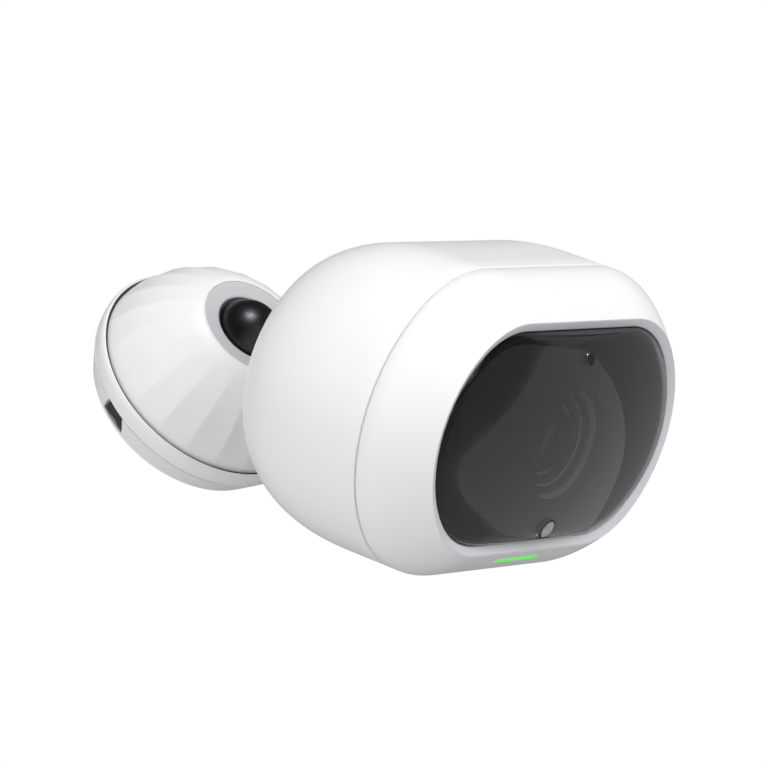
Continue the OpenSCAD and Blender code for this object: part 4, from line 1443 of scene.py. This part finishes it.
@dataclass
class Studio:
    """A plain pale studio: floor, backdrop light, softboxes, a card and the camera. Lengths are metres."""

    azimuth: float = math.radians(-47.511)
    elevation: float = math.radians(-18.177)
    roll: float = math.radians(-31.316)
    distance: float = 0.9735
    aim: tuple[float, float, float] = (0.01795, -0.03267, -0.02153)
    lens: float = 228.14
    floor_z: float = -1.6
    floor_half: float = 4.0
    backdrop: float = 1.0
    glow: float = 0.38
    mirrored_glow: float = 0.08
    card_reach: float = 0.6
    card_watts: float = 2.3

    def camera(self) -> tuple[Vector, Vector, Vector]:
        """Make the camera and return its right, up and backward directions."""
        a, e = self.azimuth, self.elevation
        back = Vector((math.sin(a) * math.cos(e), -math.cos(a) * math.cos(e), math.sin(e)))
        level = back.to_track_quat("Z", "Y").to_matrix()
        turn = level @ Matrix.Rotation(self.roll, 3, "Z")
        data = bpy.data.cameras.new("camera")
        data.lens, data.sensor_width = self.lens, 36.0
        data.clip_start, data.clip_end = 0.05, 50.0
        camera = bpy.data.objects.new("camera", data)
        bpy.context.scene.collection.objects.link(camera)
        camera.matrix_world = Matrix.Translation(Vector(self.aim) + back * self.distance) @ turn.to_4x4()
        bpy.context.scene.camera = camera
        return turn.col[0], turn.col[1], turn.col[2]

    def floor(self) -> None:
        """Make the pale floor, far below the object."""
        mesh = bmesh.new()
        bmesh.ops.create_grid(mesh, x_segments=1, y_segments=1, size=self.floor_half)
        mesh.transform(Matrix.Translation((0, 0, self.floor_z)))
        data = bpy.data.meshes.new("floor")
        mesh.to_mesh(data)
        mesh.free()
        floor = bpy.data.objects.new("floor", data)
        bpy.context.scene.collection.objects.link(floor)
        material = bpy.data.materials.new("pale_floor")
        material.use_nodes = True
        shader = material.node_tree.nodes["Principled BSDF"]
        shader.inputs["Base Color"].default_value = (0.75, 0.75, 0.75, 1)
        shader.inputs["Roughness"].default_value = 0.8
        data.materials.append(material)

    def card(self, side: Vector, along: Vector, corner: Vector, size: tuple[float, float]) -> None:
        """Make the big dim card whose reflection greys the window.

        Args:
            side: Direction from the card to the object.
            along: Direction of its first edge.
            corner: The corner that its edges start from.
            size: Lengths of its two edges.
        """
        across = side.cross(along)
        light = area_light("card", size, self.card_watts)
        turn = Matrix((along, -across, -side)).transposed()
        middle = corner + along * size[0] / 2 + across * size[1] / 2
        light.matrix_world = Matrix.Translation(middle) @ turn.to_4x4()

    def world(self, seen: float, lit: float, mirrored: float) -> None:
        """Make the surroundings: a white backdrop, and a dimmer even light on the object.

        Args:
            seen: Brightness of the backdrop.
            lit: Brightness of the light that it gives.
            mirrored: Brightness that glossy surfaces mirror.
        """
        world = bpy.data.worlds.new("studio")
        bpy.context.scene.world = world
        world.use_nodes = True
        nodes = Tree(world.node_tree)
        nodes.tree.nodes.clear()
        glow = nodes.add("ShaderNodeBackground")
        glow.inputs["Color"].default_value = (1.0, 1.0, 1.0, 1.0)
        output = nodes.add("ShaderNodeOutputWorld")
        ray = nodes.add("ShaderNodeLightPath")
        strength = nodes.remap(ray.outputs["Is Camera Ray"], 0.0, 1.0, (lit, seen))
        shine = nodes.remap(ray.outputs["Is Glossy Ray"], 0.0, 1.0, (1.0, mirrored / lit))
        strength = nodes.math("MULTIPLY", strength, shine)
        nodes.join(strength, glow.inputs["Strength"])
        nodes.join(glow.outputs[0], output.inputs["Surface"])

    def build(self) -> None:
        """Make the whole studio."""
        scene = bpy.context.scene
        scene.view_settings.view_transform = "Standard"
        right, up, back = self.camera()
        self.floor()
        self.world(self.backdrop, self.glow, self.mirrored_glow)
        target = Vector(self.aim)
        for name, (r, u, b), distance, size, watts in (
            ("key", (0.18, 0.9, 0.42), 0.9, (0.28, 0.28), 3.0),
            ("left_fill", (-0.7, 0.1, 0.7), 1.1, (1.2, 1.2), 4.0),
            ("low_fill", (-0.75, -0.6, 0.35), 1.1, (1.2, 1.2), 4.4),
            ("right_fill", (0.65, 0.35, 0.67), 1.1, (0.9, 0.9), 6.6),
        ):
            direction = right * r + up * u + back * b
            Softbox(name, tuple(direction), distance, size, watts, name == "key").build(target)
        reach = self.card_reach
        along = (up - back * 0.305).normalized()
        corner = target + (right - up * 0.707 + back * 0.152) * reach
        self.card(-right, along, corner, (1.9 * reach, 4.0 * reach))


def main() -> None:
    """Build every sub-assembly in order, then the studio."""
    logging.basicConfig(level=logging.INFO, format="%(name)s %(message)s")
    head, base = head_axes(Window.rim_y), base_axes()
    bezel_low, bezel_high = head.box("front_bezel")
    shell_low, shell_high = head.box("rear_shell")
    outline = Outline(half_w=(bezel_high.x - bezel_low.x) / 2, half_h=(bezel_high.z - bezel_low.z) / 2)
    seam_y = (bezel_high.y + shell_low.y) / 2
    wardrobe = Wardrobe(head, base)
    array = PolarArray(polar_array_tree())
    RearShell(head, outline, seam_y, shell_high.y).build(wardrobe, array)
    FrontBezel(head, outline, seam_y).build(wardrobe)
    Window(head, outline).build(wardrobe)
    Dome(base).build(wardrobe, array)
    wardrobe.carry()
    Studio().build()


if __name__ == "__main__":
    main()
